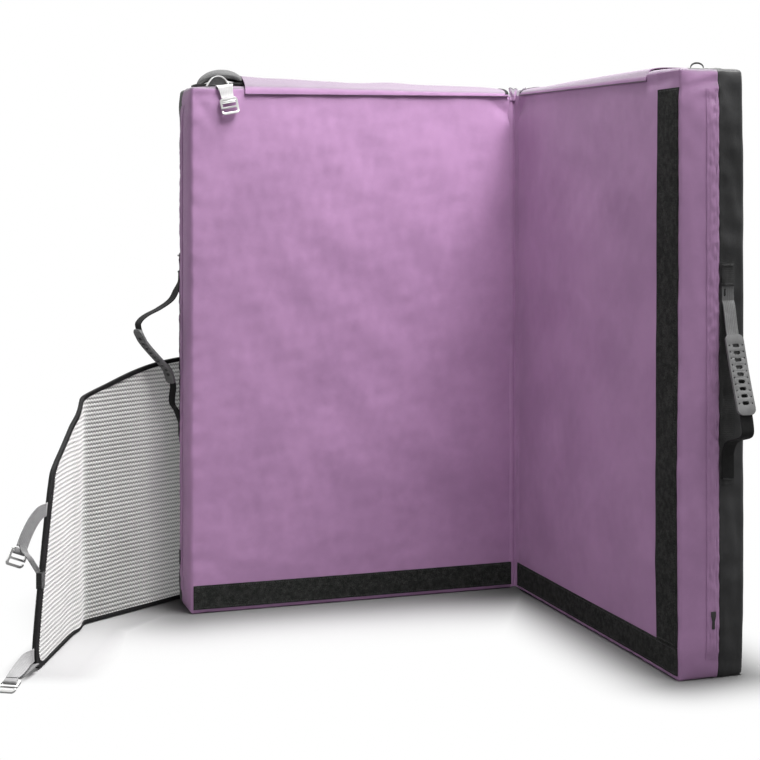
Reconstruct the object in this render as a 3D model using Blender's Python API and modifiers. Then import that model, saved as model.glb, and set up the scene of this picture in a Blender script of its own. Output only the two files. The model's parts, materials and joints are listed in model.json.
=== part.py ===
"""Bouldering crash pad: two foam halves on a cloth hinge, stood open at a right angle.

Metres, +Z up. The origin is the centre of half A's flat bottom. +X runs along half A towards
the fold, +Y from its landing face to its back. Half B stands along -Y from the fold.

Most pieces are drawn in a half's own frame: w from the fold to the free end, t from the
landing face to the back, z up. One function, swell, gives the foam's bulge to all that is
sewn to a half, and half_frames sets both halves in the world.
"""
import math

import bmesh
import bpy
from mathutils import Matrix, Vector

# Halves
half_width = 0.604
half_depth = 0.108
half_height = 0.914
landing_depth_share = 0.61
cover_wall = 0.002
landing_crown = 0.005
back_crown = 0.004
end_swell = 0.0065
hinge_swell = 0.001
top_swell = 0.008
cut_line_shares = (
    (0.125, 0.25, 0.375, 0.5, 0.625, 0.75, 0.875),
    (0.22, 0.42, 0.61, 0.8),
    (0.05, 0.12, 0.25, 0.4, 0.6, 0.75, 0.88, 0.95),
)
seam_gap = 0.0003
line_margin = 0.002
merge_distance = 0.00001

# Foam
foam_room = 0.003
foam_seat = 0.0005
closed_cell_thickness = 0.025

# Cloth hinge of the two halves
hinge_setback = 0.004
hinge_stand = 0.0025
hinge_cloth = 0.0006
hinge_tip_gap = 0.00047

# Hook strips on the landing faces
strip_thickness = 0.0015
strip_stand = 0.0005
strip_height = 0.042
strip_above_floor = 0.006
strip_end_margin = 0.004
side_strip_width = 0.060
side_strip_end_margin = 0.003
side_strip_top_drop = 0.029

# Zips under their plackets, on the free end walls
placket_width = 0.020
placket_from_boundary = 0.014
placket_rise = 0.0062
placket_cloth = 0.001
placket_end_margin = 0.030
placket_row_shares = (-1, -0.85, -0.6, 0, 0.6, 0.85, 1)
placket_fullness = 6
zip_width = 0.006
zip_thickness = 0.0012
zip_end_margin = 0.060
slider_width = 0.008
slider_length = 0.014
slider_thickness = 0.0024
slider_waist_share = 0.55
slider_parked_height = 0.095
zip_travel = 0.700
pull_width = 0.004
pull_length = 0.012

# Side handles
webbing_thickness = 0.0016
handle_width = 0.020
handle_from_landing = 0.0766
handle_low = 0.300
handle_span = 0.300
handle_pivot_out = 0.0138
handle_a_reach = 0.088
handle_b_reach = 0.066
handle_a_lean = math.radians(18)
handle_b_lean = 0.0
handle_cut_shares = (0.135, 0.865)
handle_tab_shares = (0.045, 0.95)
handle_upright_share = 0.03
handle_way_shares = {
    "a": (
        (0.13, 0.805), (0.45, 0.757), (0.78, 0.722), (0.96, 0.690), (1.0, 0.655), (0.85, 0.575),
        (0.50, 0.478), (0.21, 0.405), (0.12, 0.350), (0.07, 0.290), (0.10, 0.235), (0.09, 0.190),
    ),
    "b": (
        (0.13, 0.745), (0.28, 0.650), (0.48, 0.540), (0.66, 0.450), (0.85, 0.360), (0.97, 0.285),
        (0.97, 0.245), (0.80, 0.222), (0.35, 0.200), (0.10, 0.180),
    ),
}
patch_width = 0.026
patch_thickness = 0.0015
patch_overhang = 0.010
sewn_depth = 0.0007
grip_length_share = 0.4067
grip_width = 0.030
grip_thickness = 0.004
grip_corner = 0.009
grip_slot_width = 0.011
grip_slot_length = 0.0055
grip_slots = 9
grip_end_web = 0.012
grip_hole = 0.0026
grip_hole_rows = 10
grip_hole_from_edge = 0.0040
grip_start_shares = {"a": 0.375, "b": 0.17}

# Carry handle and closure strap on top of half A
carry_from_fold = 0.5500
carry_span = 0.070
carry_height = 0.0245
carry_width = 0.036
carry_thickness = 0.003
carry_from_landing = 0.036
carry_lean = math.radians(25)
carry_foot_height = 0.0006
strap_width = 0.023
strap_from_fold = 0.5446
strap_fold_rise = 0.014
strap_fold_span = 0.040
strap_fold_depth = 0.014
strap_fold_fullness = 1.6
strap_fold_shares = (-1.0, -0.6, -0.15, 0.15, 0.6, 1.0)
strap_edge_out = 0.0034
strap_hinge_gap = 0.0013
strap_drop = 0.0210
strap_tilt = math.radians(11)
strap_anchor_depth = 0.0175
strap_anchor_shares = (1, 0.7, 0.4, 0.15)

# Hook buckles, bent from plate
buckle_width = 0.0318
buckle_side = 0.0037
buckle_plate = 0.003
buckle_bar = 0.0042
buckle_slot_height = 0.0112
buckle_middle_bar = 0.0034
buckle_hook_height = 0.0062
buckle_hook_bar = 0.0042
buckle_mouth = 0.0028
buckle_corner = 0.0055
buckle_inner_corner = 0.0014
buckle_kick = 0.0025
buckle_hinge_gap = 0.00047
roller_radius = 0.0018
roller_gap = 0.0004
roller_sides = 12
roller_wrap_share = 0.72

# Gear flaps on top of both halves
flap_cloth = 0.0015
flap_seam_drop = 0.010
flap_rise = 0.0275
flap_reach = 0.098
flap_stand = 0.0018
flap_rest_gap = 0.0005
flap_a_from_fold = 0.010
flap_a_length = 0.503
flap_b_from_fold = 0.015
flap_b_length = 0.475
flap_profile_shares = (
    (0.0, 0.0), (0.0, 0.36), (0.012, 0.70), (0.055, 0.93), (0.13, 1.0),
    (0.32, 0.97), (0.56, 0.86), (0.8, 0.735), (1.0, 0.60),
)

# Hook loops on half B
loop_webbing = 0.0015
top_loop_from_fold = 0.567
top_loop_width = 0.0146
top_loop_height = 0.013
top_loop_length = 0.025
back_loop_from_fold = 0.300
back_loop_span = 0.060
back_loop_rise = 0.011
back_loop_width = 0.020
back_loop_heights = (0.195, 0.062)
loop_fullness = 0.7

# Mesh cover flap behind half A
mesh_thickness = 0.0050
binding_thickness = 0.0060
cover_angle = math.radians(213)
cover_outer_angle = math.radians(247)
cover_root_out = 0.0035
cover_root_back = 0.0005
cover_root_gap = 0.0022
hem_length = 0.028
inner_length = 0.192
cover_floor_gap = 0.002
binding_width = 0.010
edge_binding_width = 0.020
fold_half_gap = 0.0004
fold_taper = 0.006
fold_edge_share = 0.08
hem_top_share = 0.4467
inner_drop = 0.0490
inner_drop_shares = ((0.0, 0.0), (0.25, 0.10), (0.5, 0.32), (0.75, 0.64), (1.0, 1.0))
outer_length = 0.279
outer_height = 0.3845
outer_outline_shares = ((0.0, 1.0), (0.215, 0.916), (0.66, 0.758), (0.752, 0.62), (0.998, 0.117))
outer_corner = 0.028
outer_shoulder = 0.030

# Straps with hook buckles on the cover flap
cover_strap_width = 0.020
upper_strap_height = 0.236
lower_strap_height = 0.042
upper_strap_angle = math.radians(205)
lower_strap_angle = math.radians(240)
upper_strap_reach = 0.042
upper_strap_fall = 0.052
upper_strap_shares = ((0.0, 0.0), (0.25, 0.07), (0.55, 0.32), (0.82, 0.68), (1.0, 1.0))
lower_strap_reach = 0.070
lower_strap_fall = 0.025
lower_strap_shares = ((0.0, 0.0), (0.3, 0.25), (0.65, 0.72), (1.0, 1.0))
upper_strap_root_gap = 0.0010
lower_strap_root_gap = 0.0025
strap_root_reach = 0.006
lower_strap_twist = math.radians(90)

# Harness on the back of half A
yoke_width = 0.200
yoke_height = 0.060
yoke_top_drop = 0.130
shoulder_width = 0.060
shoulder_thickness = 0.010
shoulder_top_spread = 0.050
shoulder_low_spread = 0.095
ladder_above_hip = 0.146
shoulder_rise = 0.032
shoulder_gap = 0.004
shoulder_sewn = 0.018
lower_webbing_tuck = 0.020
lower_webbing_shares = ((0.0, 0.0), (0.1, 0.5), (0.35, 1.0), (1.0, 1.0))
lower_webbing_spread = 0.050
lower_webbing_width = 0.025
ladder_width = 0.036
ladder_height = 0.030
ladder_thickness = 0.004
ladder_bar = 0.005
ladder_out_share = 0.05
hip_centre_height = 0.105
hip_pad_height = 0.090
hip_tip_share = 0.5
hip_pad_length = 0.155
hip_pad_thickness = 0.010
hip_root_spread = 0.035
hip_webbing_length = 0.060
hip_webbing_width = 0.025
hip_buckle_length = 0.040
hip_buckle_width = 0.036
hip_buckle_thickness = 0.010
hip_corner = 0.020
hip_hinge_gap = 0.0008
hip_stand = 0.002

landing_depth = half_depth * landing_depth_share
grip_length = handle_span * grip_length_share
hem_top = handle_low + handle_span * hem_top_share
hip_top = hip_centre_height + hip_pad_height / 2
shoulder_end = hip_top + ladder_above_hip + ladder_height + 2 * shoulder_gap
axis_x = half_width / 2 + hinge_setback
axis_y = -half_depth / 2 - hinge_stand
cover_root = Vector((
    -half_width / 2 - cover_root_out,
    half_depth / 2 + cover_root_back,
    0,
))
cover_way = Vector((math.cos(cover_angle), math.sin(cover_angle), 0))
outer_way = Vector((math.cos(cover_outer_angle), math.sin(cover_outer_angle), 0))
hem_end = cover_root + cover_way * hem_length
crease = hem_end + cover_way * inner_length

half_frames = {
    "a": Matrix((
        (-1, 0, 0, half_width / 2),
        (0, 1, 0, -half_depth / 2),
        (0, 0, 1, 0),
        (0, 0, 0, 1),
    )),
    "b": Matrix((
        (0, 1, 0, axis_x + hinge_stand),
        (-1, 0, 0, axis_y - hinge_setback),
        (0, 0, 1, 0),
        (0, 0, 0, 1),
    )),
}

colours = {
    "purple_cloth": ((0.45, 0.23, 0.46), 0.75, 0.0),
    "black_cloth": ((0.03, 0.03, 0.033), 0.8, 0.0),
    "closed_cell_foam": ((0.35, 0.36, 0.38), 0.9, 0.0),
    "open_cell_foam": ((0.82, 0.80, 0.70), 0.95, 0.0),
    "hook_tape": ((0.02, 0.02, 0.02), 0.95, 0.0),
    "grey_webbing": ((0.17, 0.17, 0.165), 0.8, 0.0),
    "pale_webbing": ((0.80, 0.80, 0.78), 0.7, 0.0),
    "black_webbing": ((0.02, 0.02, 0.02), 0.75, 0.0),
    "spacer_mesh": ((0.72, 0.72, 0.70), 0.85, 0.0),
    "black_plastic": ((0.025, 0.025, 0.025), 0.45, 0.0),
    "grey_plastic": ((0.15, 0.15, 0.15), 0.5, 0.0),
    "steel": ((0.62, 0.62, 0.60), 0.3, 1.0),
}


def swell(point):
    """Where a point of the flat-sided half lies once the foam fills its cover."""
    w, t, z = point
    across = 2 * w / half_width - 1
    through = 2 * t / half_depth - 1
    up = 2 * z / half_height - 1
    face = max(0, 1 - across**2) * max(0, 1 - up**4)
    wall = max(0, 1 - through**4)
    deep, far, high = t / half_depth, w / half_width, z / half_height
    t += (back_crown * deep - landing_crown * (1 - deep)) * face
    w += (end_swell * far - hinge_swell * (1 - far)) * wall * max(0, 1 - up**12)
    z += top_swell * high * wall * max(0, 1 - across**4)
    return Vector((w, t, z))


def end_wall(t, z, out=0.0):
    """A point that stands out from the free end wall by a given distance."""
    return swell((half_width, t, z)) + Vector((out, 0, 0))


def back_face(w, z, out=0.0):
    """A point that stands out from the back of a half by a given distance."""
    return swell((w, half_depth, z)) + Vector((0, out, 0))


def top_wall(w, t, out=0.0):
    """A point that stands above the top wall of a half by a given distance."""
    return swell((w, t, half_height)) + Vector((0, 0, out))


def clear_scene():
    """Remove what a new file holds."""
    for item in list(bpy.data.objects):
        bpy.data.objects.remove(item)


def collection(name):
    """A new collection in the scene."""
    group = bpy.data.collections.new(name)
    bpy.context.scene.collection.children.link(group)
    return group


def material(name, finish):
    """A Principled material for one piece."""
    colour, roughness, metallic = colours[finish]
    shade = bpy.data.materials.new(name)
    shade.use_nodes = True
    surface = shade.node_tree.nodes["Principled BSDF"]
    surface.inputs["Base Color"].default_value = (*colour, 1)
    surface.inputs["Roughness"].default_value = roughness
    surface.inputs["Metallic"].default_value = metallic
    return shade


def add_pivot(name, place, parent=None):
    """An empty on a joint's axis, which carries the pieces that turn there."""
    empty = bpy.data.objects.new("pivot_" + name, None)
    pad.objects.link(empty)
    pivots[name] = (empty, Vector(place))
    if parent:
        empty.parent = pivots[parent][0]
        empty.location = pivots[name][1] - pivots[parent][1]
    else:
        empty.location = place


def add_part(name, bm, finish, body, frame=None):
    """Turn a bmesh into a named piece whose origin is its body's pivot."""
    if frame is not None:
        bm.transform(frame)
        if frame.determinant() < 0:
            bmesh.ops.reverse_faces(bm, faces=bm.faces)
    empty, place = pivots[body]
    bm.transform(Matrix.Translation(-place))
    mesh = bpy.data.meshes.new(name)
    bm.to_mesh(mesh)
    bm.free()
    mesh.materials.append(material(name, finish))
    part = bpy.data.objects.new(name, mesh)
    pad.objects.link(part)
    part.parent = empty
    return part


def give_thickness(part, thickness, offset=0.0):
    """Solidify an open sheet."""
    shell = part.modifiers.new("cloth", "SOLIDIFY")
    shell.thickness = thickness
    shell.offset = offset
    shell.use_even_offset = True
    return shell


def thick(bm, thickness):
    """A sheet's solid, half its thickness to either side."""
    mesh = bpy.data.meshes.new("sheet")
    bm.to_mesh(mesh)
    bm.free()
    holder = bpy.data.objects.new("sheet", mesh)
    pad.objects.link(holder)
    give_thickness(holder, thickness)
    solid = bmesh.new()
    solid.from_object(holder, bpy.context.evaluated_depsgraph_get())
    bpy.data.objects.remove(holder)
    bpy.data.meshes.remove(mesh)
    return solid


def round_edges(part, width, segments=2, angle=40):
    """Bevel the sharp edges of a piece."""
    bevel = part.modifiers.new("edges", "BEVEL")
    bevel.width = width
    bevel.segments = segments
    bevel.limit_method = "ANGLE"
    bevel.angle_limit = math.radians(angle)
    return bevel


def face_outward(bm):
    """Turn every face of a closed mesh outward."""
    bm.normal_update()
    bmesh.ops.recalc_face_normals(bm, faces=bm.faces)


def move_points(bm, place):
    """Put every vertex of a bmesh where a function sends it."""
    for vert in bm.verts:
        vert.co = place(vert.co)


def cut_lines():
    """The cover's grid lines along w, t and z, which all foam-filled forms share."""
    sizes = (half_width, half_depth, half_height)
    return [[share * size for share in row] for row, size in zip(cut_line_shares, sizes)]


def block(low, high, lines=((), (), ())):
    """A box between two corners, its faces cut along the given lines."""
    bm = bmesh.new()
    bmesh.ops.create_cube(bm, size=1)
    low, high = Vector(low), Vector(high)
    middle, size = (low + high) / 2, high - low
    move_points(bm, lambda p: middle + Vector(a * b for a, b in zip(p, size)))
    for axis, places in enumerate(lines):
        for place in places:
            if low[axis] + line_margin < place < high[axis] - line_margin:
                normal = Vector([axis == number for number in range(3)])
                geometry = bm.verts[:] + bm.edges[:] + bm.faces[:]
                bmesh.ops.bisect_plane(bm, geom=geometry, plane_co=normal * place, plane_no=normal)
    return bm


def loft(rows):
    """An open sheet through rows of points, each row as long as the others."""
    bm = bmesh.new()
    grid = [[bm.verts.new(point) for point in row] for row in rows]
    for near, far in zip(grid, grid[1:]):
        for a, b, c, d in zip(near, near[1:], far[1:], far):
            bm.faces.new((a, b, c, d))
    return bm


def ribbon(centres, sides):
    """A flat strap along points, from one side vector to the other."""
    return loft([(centre - side, centre + side) for centre, side in zip(centres, sides)])


def smooth(points, steps=3):
    """A Catmull-Rom curve through points, as a list of points."""
    points = [Vector(point) for point in points]
    line = [2 * points[0] - points[1], *points, 2 * points[-1] - points[-2]]
    curve = []
    for a, b, c, d in zip(line, line[1:], line[2:], line[3:]):
        for step in range(steps):
            u = step / steps
            curve.append(
                b + (c - a) * (u / 2) + (2 * a - 5 * b + 4 * c - d) * (u**2 / 2)
                + (3 * b - a - 3 * c + d) * (u**3 / 2)
            )
    return curve + [points[-1]]


def corner_arc(before, corner, after, radius, steps=3):
    """The points that round one corner of an outline."""
    before, corner, after = Vector(before), Vector(corner), Vector(after)
    back, on = (before - corner).normalized(), (after - corner).normalized()
    half = back.angle(on) / 2
    reach = radius / math.tan(half)
    centre = corner + (back + on).normalized() * (radius / math.sin(half))
    start, end = corner + back * reach - centre, corner + on * reach - centre
    return [
        centre + (start * (1 - k / steps) + end * (k / steps)).normalized() * radius
        for k in range(steps + 1)
    ]


def rounded_box(width, height, radius, middle=(0, 0), steps=3):
    """The outline of a rectangle with round corners."""
    x, y = width / 2, height / 2
    corners = [Vector((x, y)), Vector((-x, y)), Vector((-x, -y)), Vector((x, -y))]
    outline = []
    for number, corner in enumerate(corners):
        outline += corner_arc(corners[number - 1], corner, corners[(number + 1) % 4], radius, steps)
    return [point + Vector(middle) for point in outline]


def plate(outlines, thickness):
    """A flat plate with windows, from the outlines of its edge and its holes."""
    curve = bpy.data.curves.new("outline", "CURVE")
    curve.dimensions = "2D"
    curve.fill_mode = "BOTH"
    curve.extrude = thickness / 2
    for outline in outlines:
        spline = curve.splines.new("POLY")
        spline.points.add(len(outline) - 1)
        for point, place in zip(spline.points, outline):
            point.co = (place[0], place[1], 0, 1)
        spline.use_cyclic_u = True
    holder = bpy.data.objects.new("outline", curve)
    pad.objects.link(holder)
    mesh = bpy.data.meshes.new_from_object(
        holder.evaluated_get(bpy.context.evaluated_depsgraph_get())
    )
    bm = bmesh.new()
    bm.from_mesh(mesh)
    bmesh.ops.remove_doubles(bm, verts=bm.verts, dist=merge_distance)
    bpy.data.objects.remove(holder)
    bpy.data.curves.remove(curve)
    bpy.data.meshes.remove(mesh)
    return bm


def standing_frame(origin, way):
    """A frame whose X runs along a level direction and whose Y is up."""
    up = Vector((0, 0, 1))
    normal = way.cross(up)
    return Matrix.Translation(origin) @ Matrix((way, up, normal)).transposed().to_4x4()


def cover_tray(name, side, near, far, open_end, finish):
    """One sewn cover of a half: five swollen walls and an open mouth."""
    bm = block((0, near, 0), (half_width, far, half_height), cut_lines())
    mouth = [face for face in bm.faces if abs(face.calc_center_median().y - open_end) < seam_gap]
    bmesh.ops.delete(bm, geom=mouth, context="FACES")
    move_points(bm, swell)
    tray = add_part(f"{name}_{side}", bm, finish, f"half_{side}", half_frames[side])
    give_thickness(tray, cover_wall, -1)


def foam_slab(name, side, near, far, finish):
    """A slab of foam that fills its cover but for a little room."""
    room = cover_wall + foam_room
    bm = block((room, near, cover_wall + foam_seat),
               (half_width - room, far, half_height - room), cut_lines())
    move_points(bm, swell)
    add_part(f"{name}_{side}", bm, finish, f"half_{side}", half_frames[side])


def fold_seam(side):
    """The cloth that runs from a half's landing edge to the fold's axis."""
    reach = math.hypot(hinge_setback, hinge_stand)
    way = Vector((-hinge_setback, -hinge_stand, 0)) / reach
    start, end = way * hinge_tip_gap, way * (reach - hinge_tip_gap)
    rows = [(start, end), (start + Vector((0, 0, half_height)), end + Vector((0, 0, half_height)))]
    seam = add_part(f"fold_seam_{side}", loft(rows), "purple_cloth", f"half_{side}",
                    half_frames[side])
    give_thickness(seam, hinge_cloth)


def hook_strip(name, side, low, high):
    """A strip of hook tape sewn on a landing face, between two corners (w, z)."""
    bm = block(
        (low[0], -strip_stand - strip_thickness, low[1]), (high[0], -strip_stand, high[1]),
        cut_lines()
    )
    move_points(bm, swell)
    add_part(f"{name}_{side}", bm, "hook_tape", f"half_{side}", half_frames[side])


def add_hook_strips():
    """Bottom strips on both halves and the upright strip on half B."""
    low, high = strip_above_floor, strip_above_floor + strip_height
    hook_strip("hook_strip_bottom", "a", (strip_end_margin, low),
               (half_width - strip_end_margin, high))
    hook_strip("hook_strip_bottom", "b", (strip_end_margin, low),
               (half_width - side_strip_end_margin, high))
    hook_strip("hook_strip_side", "b",
               (half_width - side_strip_end_margin - side_strip_width, high + seam_gap),
               (half_width - side_strip_end_margin, half_height - side_strip_top_drop))


def zip_set(side):
    """Zip chain, slider and the placket that hides them."""
    middle = landing_depth - placket_from_boundary
    half = placket_width / 2
    frame, body = half_frames[side], f"half_{side}"
    low, high = placket_end_margin, half_height - placket_end_margin
    levels = [low, *[z for z in cut_lines()[2] if low < z < high], high]
    rows = []
    for z in levels:
        row = []
        for share in placket_row_shares:
            puff = (placket_rise - placket_cloth) * (1 - abs(share) ** placket_fullness)
            lift = placket_cloth / 2 + seam_gap + puff
            row.append(end_wall(middle + half * share, z, lift))
        rows.append(row)
    placket = add_part(f"zip_placket_{side}", loft(rows), "purple_cloth", body, frame)
    give_thickness(placket, placket_cloth)

    chain = block(
        (half_width + seam_gap, middle - zip_width / 2, zip_end_margin),
        (half_width + seam_gap + zip_thickness, middle + zip_width / 2,
         half_height - zip_end_margin),
        cut_lines(),
    )
    move_points(chain, swell)
    add_part(f"zip_chain_{side}", chain, "black_plastic", body, frame)

    seat = half_width + end_swell + zip_thickness + 2 * seam_gap
    place = Matrix(((0, 0, 1, seat + slider_thickness / 2), (1, 0, 0, middle),
                    (0, 1, 0, slider_parked_height), (0, 0, 0, 1)))
    waist, pull = slider_width * slider_waist_share / 2, pull_width / 2
    edge, nose = slider_width / 2, slider_length / 2
    shape = [(-pull, -nose - pull_length), (pull, -nose - pull_length), (pull, -nose),
             (waist, -nose), (edge, 0), (edge, nose), (-edge, nose), (-edge, 0),
             (-waist, -nose), (-pull, -nose)]
    slider = plate([shape], slider_thickness)
    slider.transform(frame @ place)
    face_outward(slider)
    add_part(f"zip_slider_{side}", slider, "black_plastic", f"zip_slider_{side}")


def unite(bm, other):
    """The Boolean union of two solids that overlap, as one bmesh."""
    holders = []
    for piece in (bm, other):
        face_outward(piece)
        mesh = bpy.data.meshes.new("solid")
        piece.to_mesh(mesh)
        piece.free()
        holder = bpy.data.objects.new("solid", mesh)
        pad.objects.link(holder)
        holders.append(holder)
    union = holders[0].modifiers.new("union", "BOOLEAN")
    union.operation = "UNION"
    union.solver = "EXACT"
    union.object = holders[1]
    solid = bmesh.new()
    solid.from_object(holders[0], bpy.context.evaluated_depsgraph_get())
    for holder in holders:
        mesh = holder.data
        bpy.data.objects.remove(holder)
        bpy.data.meshes.remove(mesh)
    return solid


def handle_path(side):
    """The side handle's webbing, seen edge on: stand-off from the end wall, and height.

    It lies on its patches at both ends and runs upright where the loose part starts and ends.
    """
    seat = seam_gap + patch_thickness + webbing_thickness / 2 - sewn_depth
    wall = end_wall(handle_from_landing, handle_low + handle_span / 2).x - half_width
    flat = wall + seat
    loose = handle_pivot_out
    reach = {"a": handle_a_reach, "b": handle_b_reach}[side]
    shares = handle_way_shares[side]
    top = [(flat, 1.0), (flat, handle_tab_shares[1]),
           (loose, handle_cut_shares[1] + handle_upright_share), (loose, handle_cut_shares[1])]
    low = [(loose, handle_cut_shares[0]), (loose, handle_cut_shares[0] - handle_upright_share),
           (flat, handle_tab_shares[0]), (flat, 0.0)]
    middle = [(loose + (reach - loose) * out, up) for out, up in shares]
    return [(out, handle_low + handle_span * up) for out, up in top + middle + low]


def side_handle(side):
    """One side handle: sewn tabs on the half, and the loose loop with its moulded grip."""
    lean = {"a": handle_a_lean, "b": handle_b_lean}[side]
    frame = half_frames[side]
    path = handle_path(side)
    line = [Vector((max(point.x, path[0][0]), point.y, 0))
            for point in smooth([(out, up, 0) for out, up in path], 4)]
    cut_low, cut_high = (handle_low + handle_span * share for share in handle_cut_shares)
    foot = Vector((half_width, handle_from_landing, 0))

    def place(out, up, turn, across=0.0):
        away = Vector((math.cos(turn), -math.sin(turn), 0))
        along = Vector((math.sin(turn), math.cos(turn), 0))
        return foot + away * out + along * across + Vector((0, 0, up))

    def strap(points, turns):
        half = handle_width / 2
        rows = [
            (place(p.x, p.y, turn, -half), place(p.x, p.y, turn, half))
            for p, turn in zip(points, turns)
        ]
        return loft(rows)

    near = seam_gap / 2
    loose = [p.copy() for p in line if cut_low - near < p.y < cut_high + near]
    loose[0].y -= seam_gap
    loose[-1].y += seam_gap
    top = [p for p in line if p.y > cut_high - near]
    low = [p for p in line if p.y < cut_low + near]
    anchor = handle_backing()
    for points in (top, low):
        turns = [lean * min((p.x - path[0][0]) / (handle_pivot_out - path[0][0]), 1)
                 for p in points]
        anchor = unite(anchor, thick(strap(points, turns), webbing_thickness))
    add_part(f"handle_anchor_{side}", anchor, "black_webbing", f"half_{side}", frame)
    loop = strap(loose, [lean] * len(loose))
    part = add_part(f"side_handle_webbing_{side}", loop, "grey_webbing", f"side_handle_{side}",
                    frame)
    give_thickness(part, webbing_thickness)

    grip = grip_plate()
    track = Track(loose)
    bend_grip(grip, track, grip_start_shares[side] * track.length,
              lambda out, up, across: place(out, up, lean, across))
    add_part(f"side_handle_grip_{side}", grip, "grey_plastic", f"side_handle_{side}", frame)


def handle_backing():
    """The strip on the end wall that both ends of a side handle are sewn to."""
    half = patch_width / 2
    bm = block(
        (half_width + seam_gap, handle_from_landing - half, handle_low - patch_overhang),
        (half_width + seam_gap + patch_thickness, handle_from_landing + half,
         handle_low + handle_span + patch_overhang),
        cut_lines(),
    )
    move_points(bm, swell)
    return bm


class Track:
    """A polyline in a plane that can be walked by distance."""

    def __init__(self, points):
        self.points = points
        self.marks = [0.0]
        for a, b in zip(points, points[1:]):
            self.marks.append(self.marks[-1] + (b - a).length)
        self.length = self.marks[-1]

    def at(self, distance):
        """The point at a distance, and the direction there."""
        number = 1
        while number < len(self.marks) - 1 and self.marks[number] < distance:
            number += 1
        a, b = self.points[number - 1], self.points[number]
        share = (distance - self.marks[number - 1]) / (self.marks[number] - self.marks[number - 1])
        return a.lerp(b, share), (b - a).normalized()


def grip_plate():
    """The moulded ladder of a grip, laid flat: X across it, Y along it."""
    outlines = [rounded_box(grip_width, grip_length, grip_corner, (0, grip_length / 2), 4)]
    run = grip_length - 2 * grip_end_web
    pitch = run / grip_slots
    for number in range(grip_slots):
        middle = (0, grip_end_web + pitch * (number + 0.5))
        outlines.append(rounded_box(grip_slot_width, grip_slot_length, grip_slot_length / 4,
                                    middle, 1))
    pitch = run / grip_hole_rows
    for number in range(grip_hole_rows):
        for edge in (-1, 1):
            across = edge * (grip_width / 2 - grip_hole_from_edge)
            middle = (across, grip_end_web + pitch * (number + 0.5))
            outlines.append(rounded_box(grip_hole, grip_hole, grip_hole / 2.5, middle, 1))
    return plate(outlines, grip_thickness)


def bend_grip(bm, track, start, place):
    """Lay the flat grip along the webbing, on its outer side."""
    stand = webbing_thickness / 2 + seam_gap + grip_thickness / 2
    geometry = bm.verts[:] + bm.edges[:] + bm.faces[:]
    for number in range(1, grip_slots):
        where = grip_end_web + (grip_length - 2 * grip_end_web) * number / grip_slots
        bmesh.ops.bisect_plane(bm, geom=geometry, plane_co=(0, where, 0), plane_no=(0, 1, 0))
        geometry = bm.verts[:] + bm.edges[:] + bm.faces[:]
    for vert in bm.verts:
        across, along, lift = vert.co
        point, way = track.at(start + along)
        normal = Vector((-way.y, way.x, 0))
        spot = point + normal * (stand + lift)
        vert.co = place(spot.x, spot.y, across)
    face_outward(bm)


def carry_handle():
    """The webbing arch on top of half A, leaning towards the landing side."""
    centres, sides = [], []
    steps = 12
    for step in range(steps + 1):
        angle = math.pi * step / steps
        w = carry_from_fold - math.cos(angle) * carry_span / 2
        rise = math.sin(angle) * carry_height
        lean = carry_lean * math.sin(angle)
        foot = top_wall(w, carry_from_landing, carry_foot_height)
        centres.append(foot + Vector((0, -math.sin(lean) * rise, math.cos(lean) * rise)))
        sides.append(Vector((0, math.cos(lean), math.sin(lean))) * carry_width / 2)
    part = add_part("carry_handle", ribbon(centres, sides), "black_webbing", "half_a",
                    half_frames["a"])
    give_thickness(part, carry_thickness)


def tail_start():
    """Where the closure strap bends over the landing edge of half A, in the half's frame."""
    return Vector((strap_from_fold, -strap_edge_out, half_height + strap_edge_out))


def tail_way():
    """The direction in which the closure strap hangs down half A's face, in its frame."""
    return Vector((-math.sin(strap_tilt), 0, -math.cos(strap_tilt)))


def closure_strap():
    """The pale strap: its folded anchor on top, the hanging tail and the hook buckle."""
    half = Vector((strap_width / 2, 0, 0))
    seat = seam_gap + webbing_thickness / 2
    edge = tail_start()
    centres = [top_wall(strap_from_fold, strap_anchor_depth * share, seat)
               for share in strap_anchor_shares]
    back = (centres[-1] - edge).normalized()
    centres.append(edge + back * strap_hinge_gap)
    anchor = thick(ribbon(centres, [half] * len(centres)), webbing_thickness)
    for rise in (0, strap_fold_rise):
        fold = [
            top_wall(strap_from_fold + share * strap_fold_span / 2,
                     strap_anchor_depth + strap_fold_depth / 3,
                     seat + rise * (1 - abs(share) ** strap_fold_fullness))
            for share in strap_fold_shares
        ]
        side = Vector((0, strap_fold_depth / 2, 0))
        anchor = unite(anchor, thick(ribbon(fold, [side] * len(fold)), webbing_thickness))
    add_part("closure_strap_anchor", anchor, "pale_webbing", "half_a", half_frames["a"])

    down = tail_way()
    centres = [edge + down * strap_hinge_gap, edge + down * (strap_drop - buckle_hinge_gap)]
    level = half / math.cos(strap_tilt)
    across = Vector((-down.z, 0, down.x)) * strap_width / 2
    part = add_part("closure_strap_tail", ribbon(centres, [level, across]), "pale_webbing",
                    "closure_strap", half_frames["a"])
    give_thickness(part, webbing_thickness)
    hook_buckle("closure", closure_buckle_frame(), strap_width, "closure_buckle", "pale_webbing")


def closure_buckle_frame():
    """The buckle's own frame: X along its bars, Y up the strap, Z away from the landing face."""
    top = half_frames["a"] @ (tail_start() + tail_way() * strap_drop)
    hung = Matrix(((1, 0, 0), (0, 0, -1), (0, 1, 0))).to_4x4()
    return Matrix.Translation(top) @ hung @ Matrix.Rotation(strap_tilt, 4, "Z")


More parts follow.
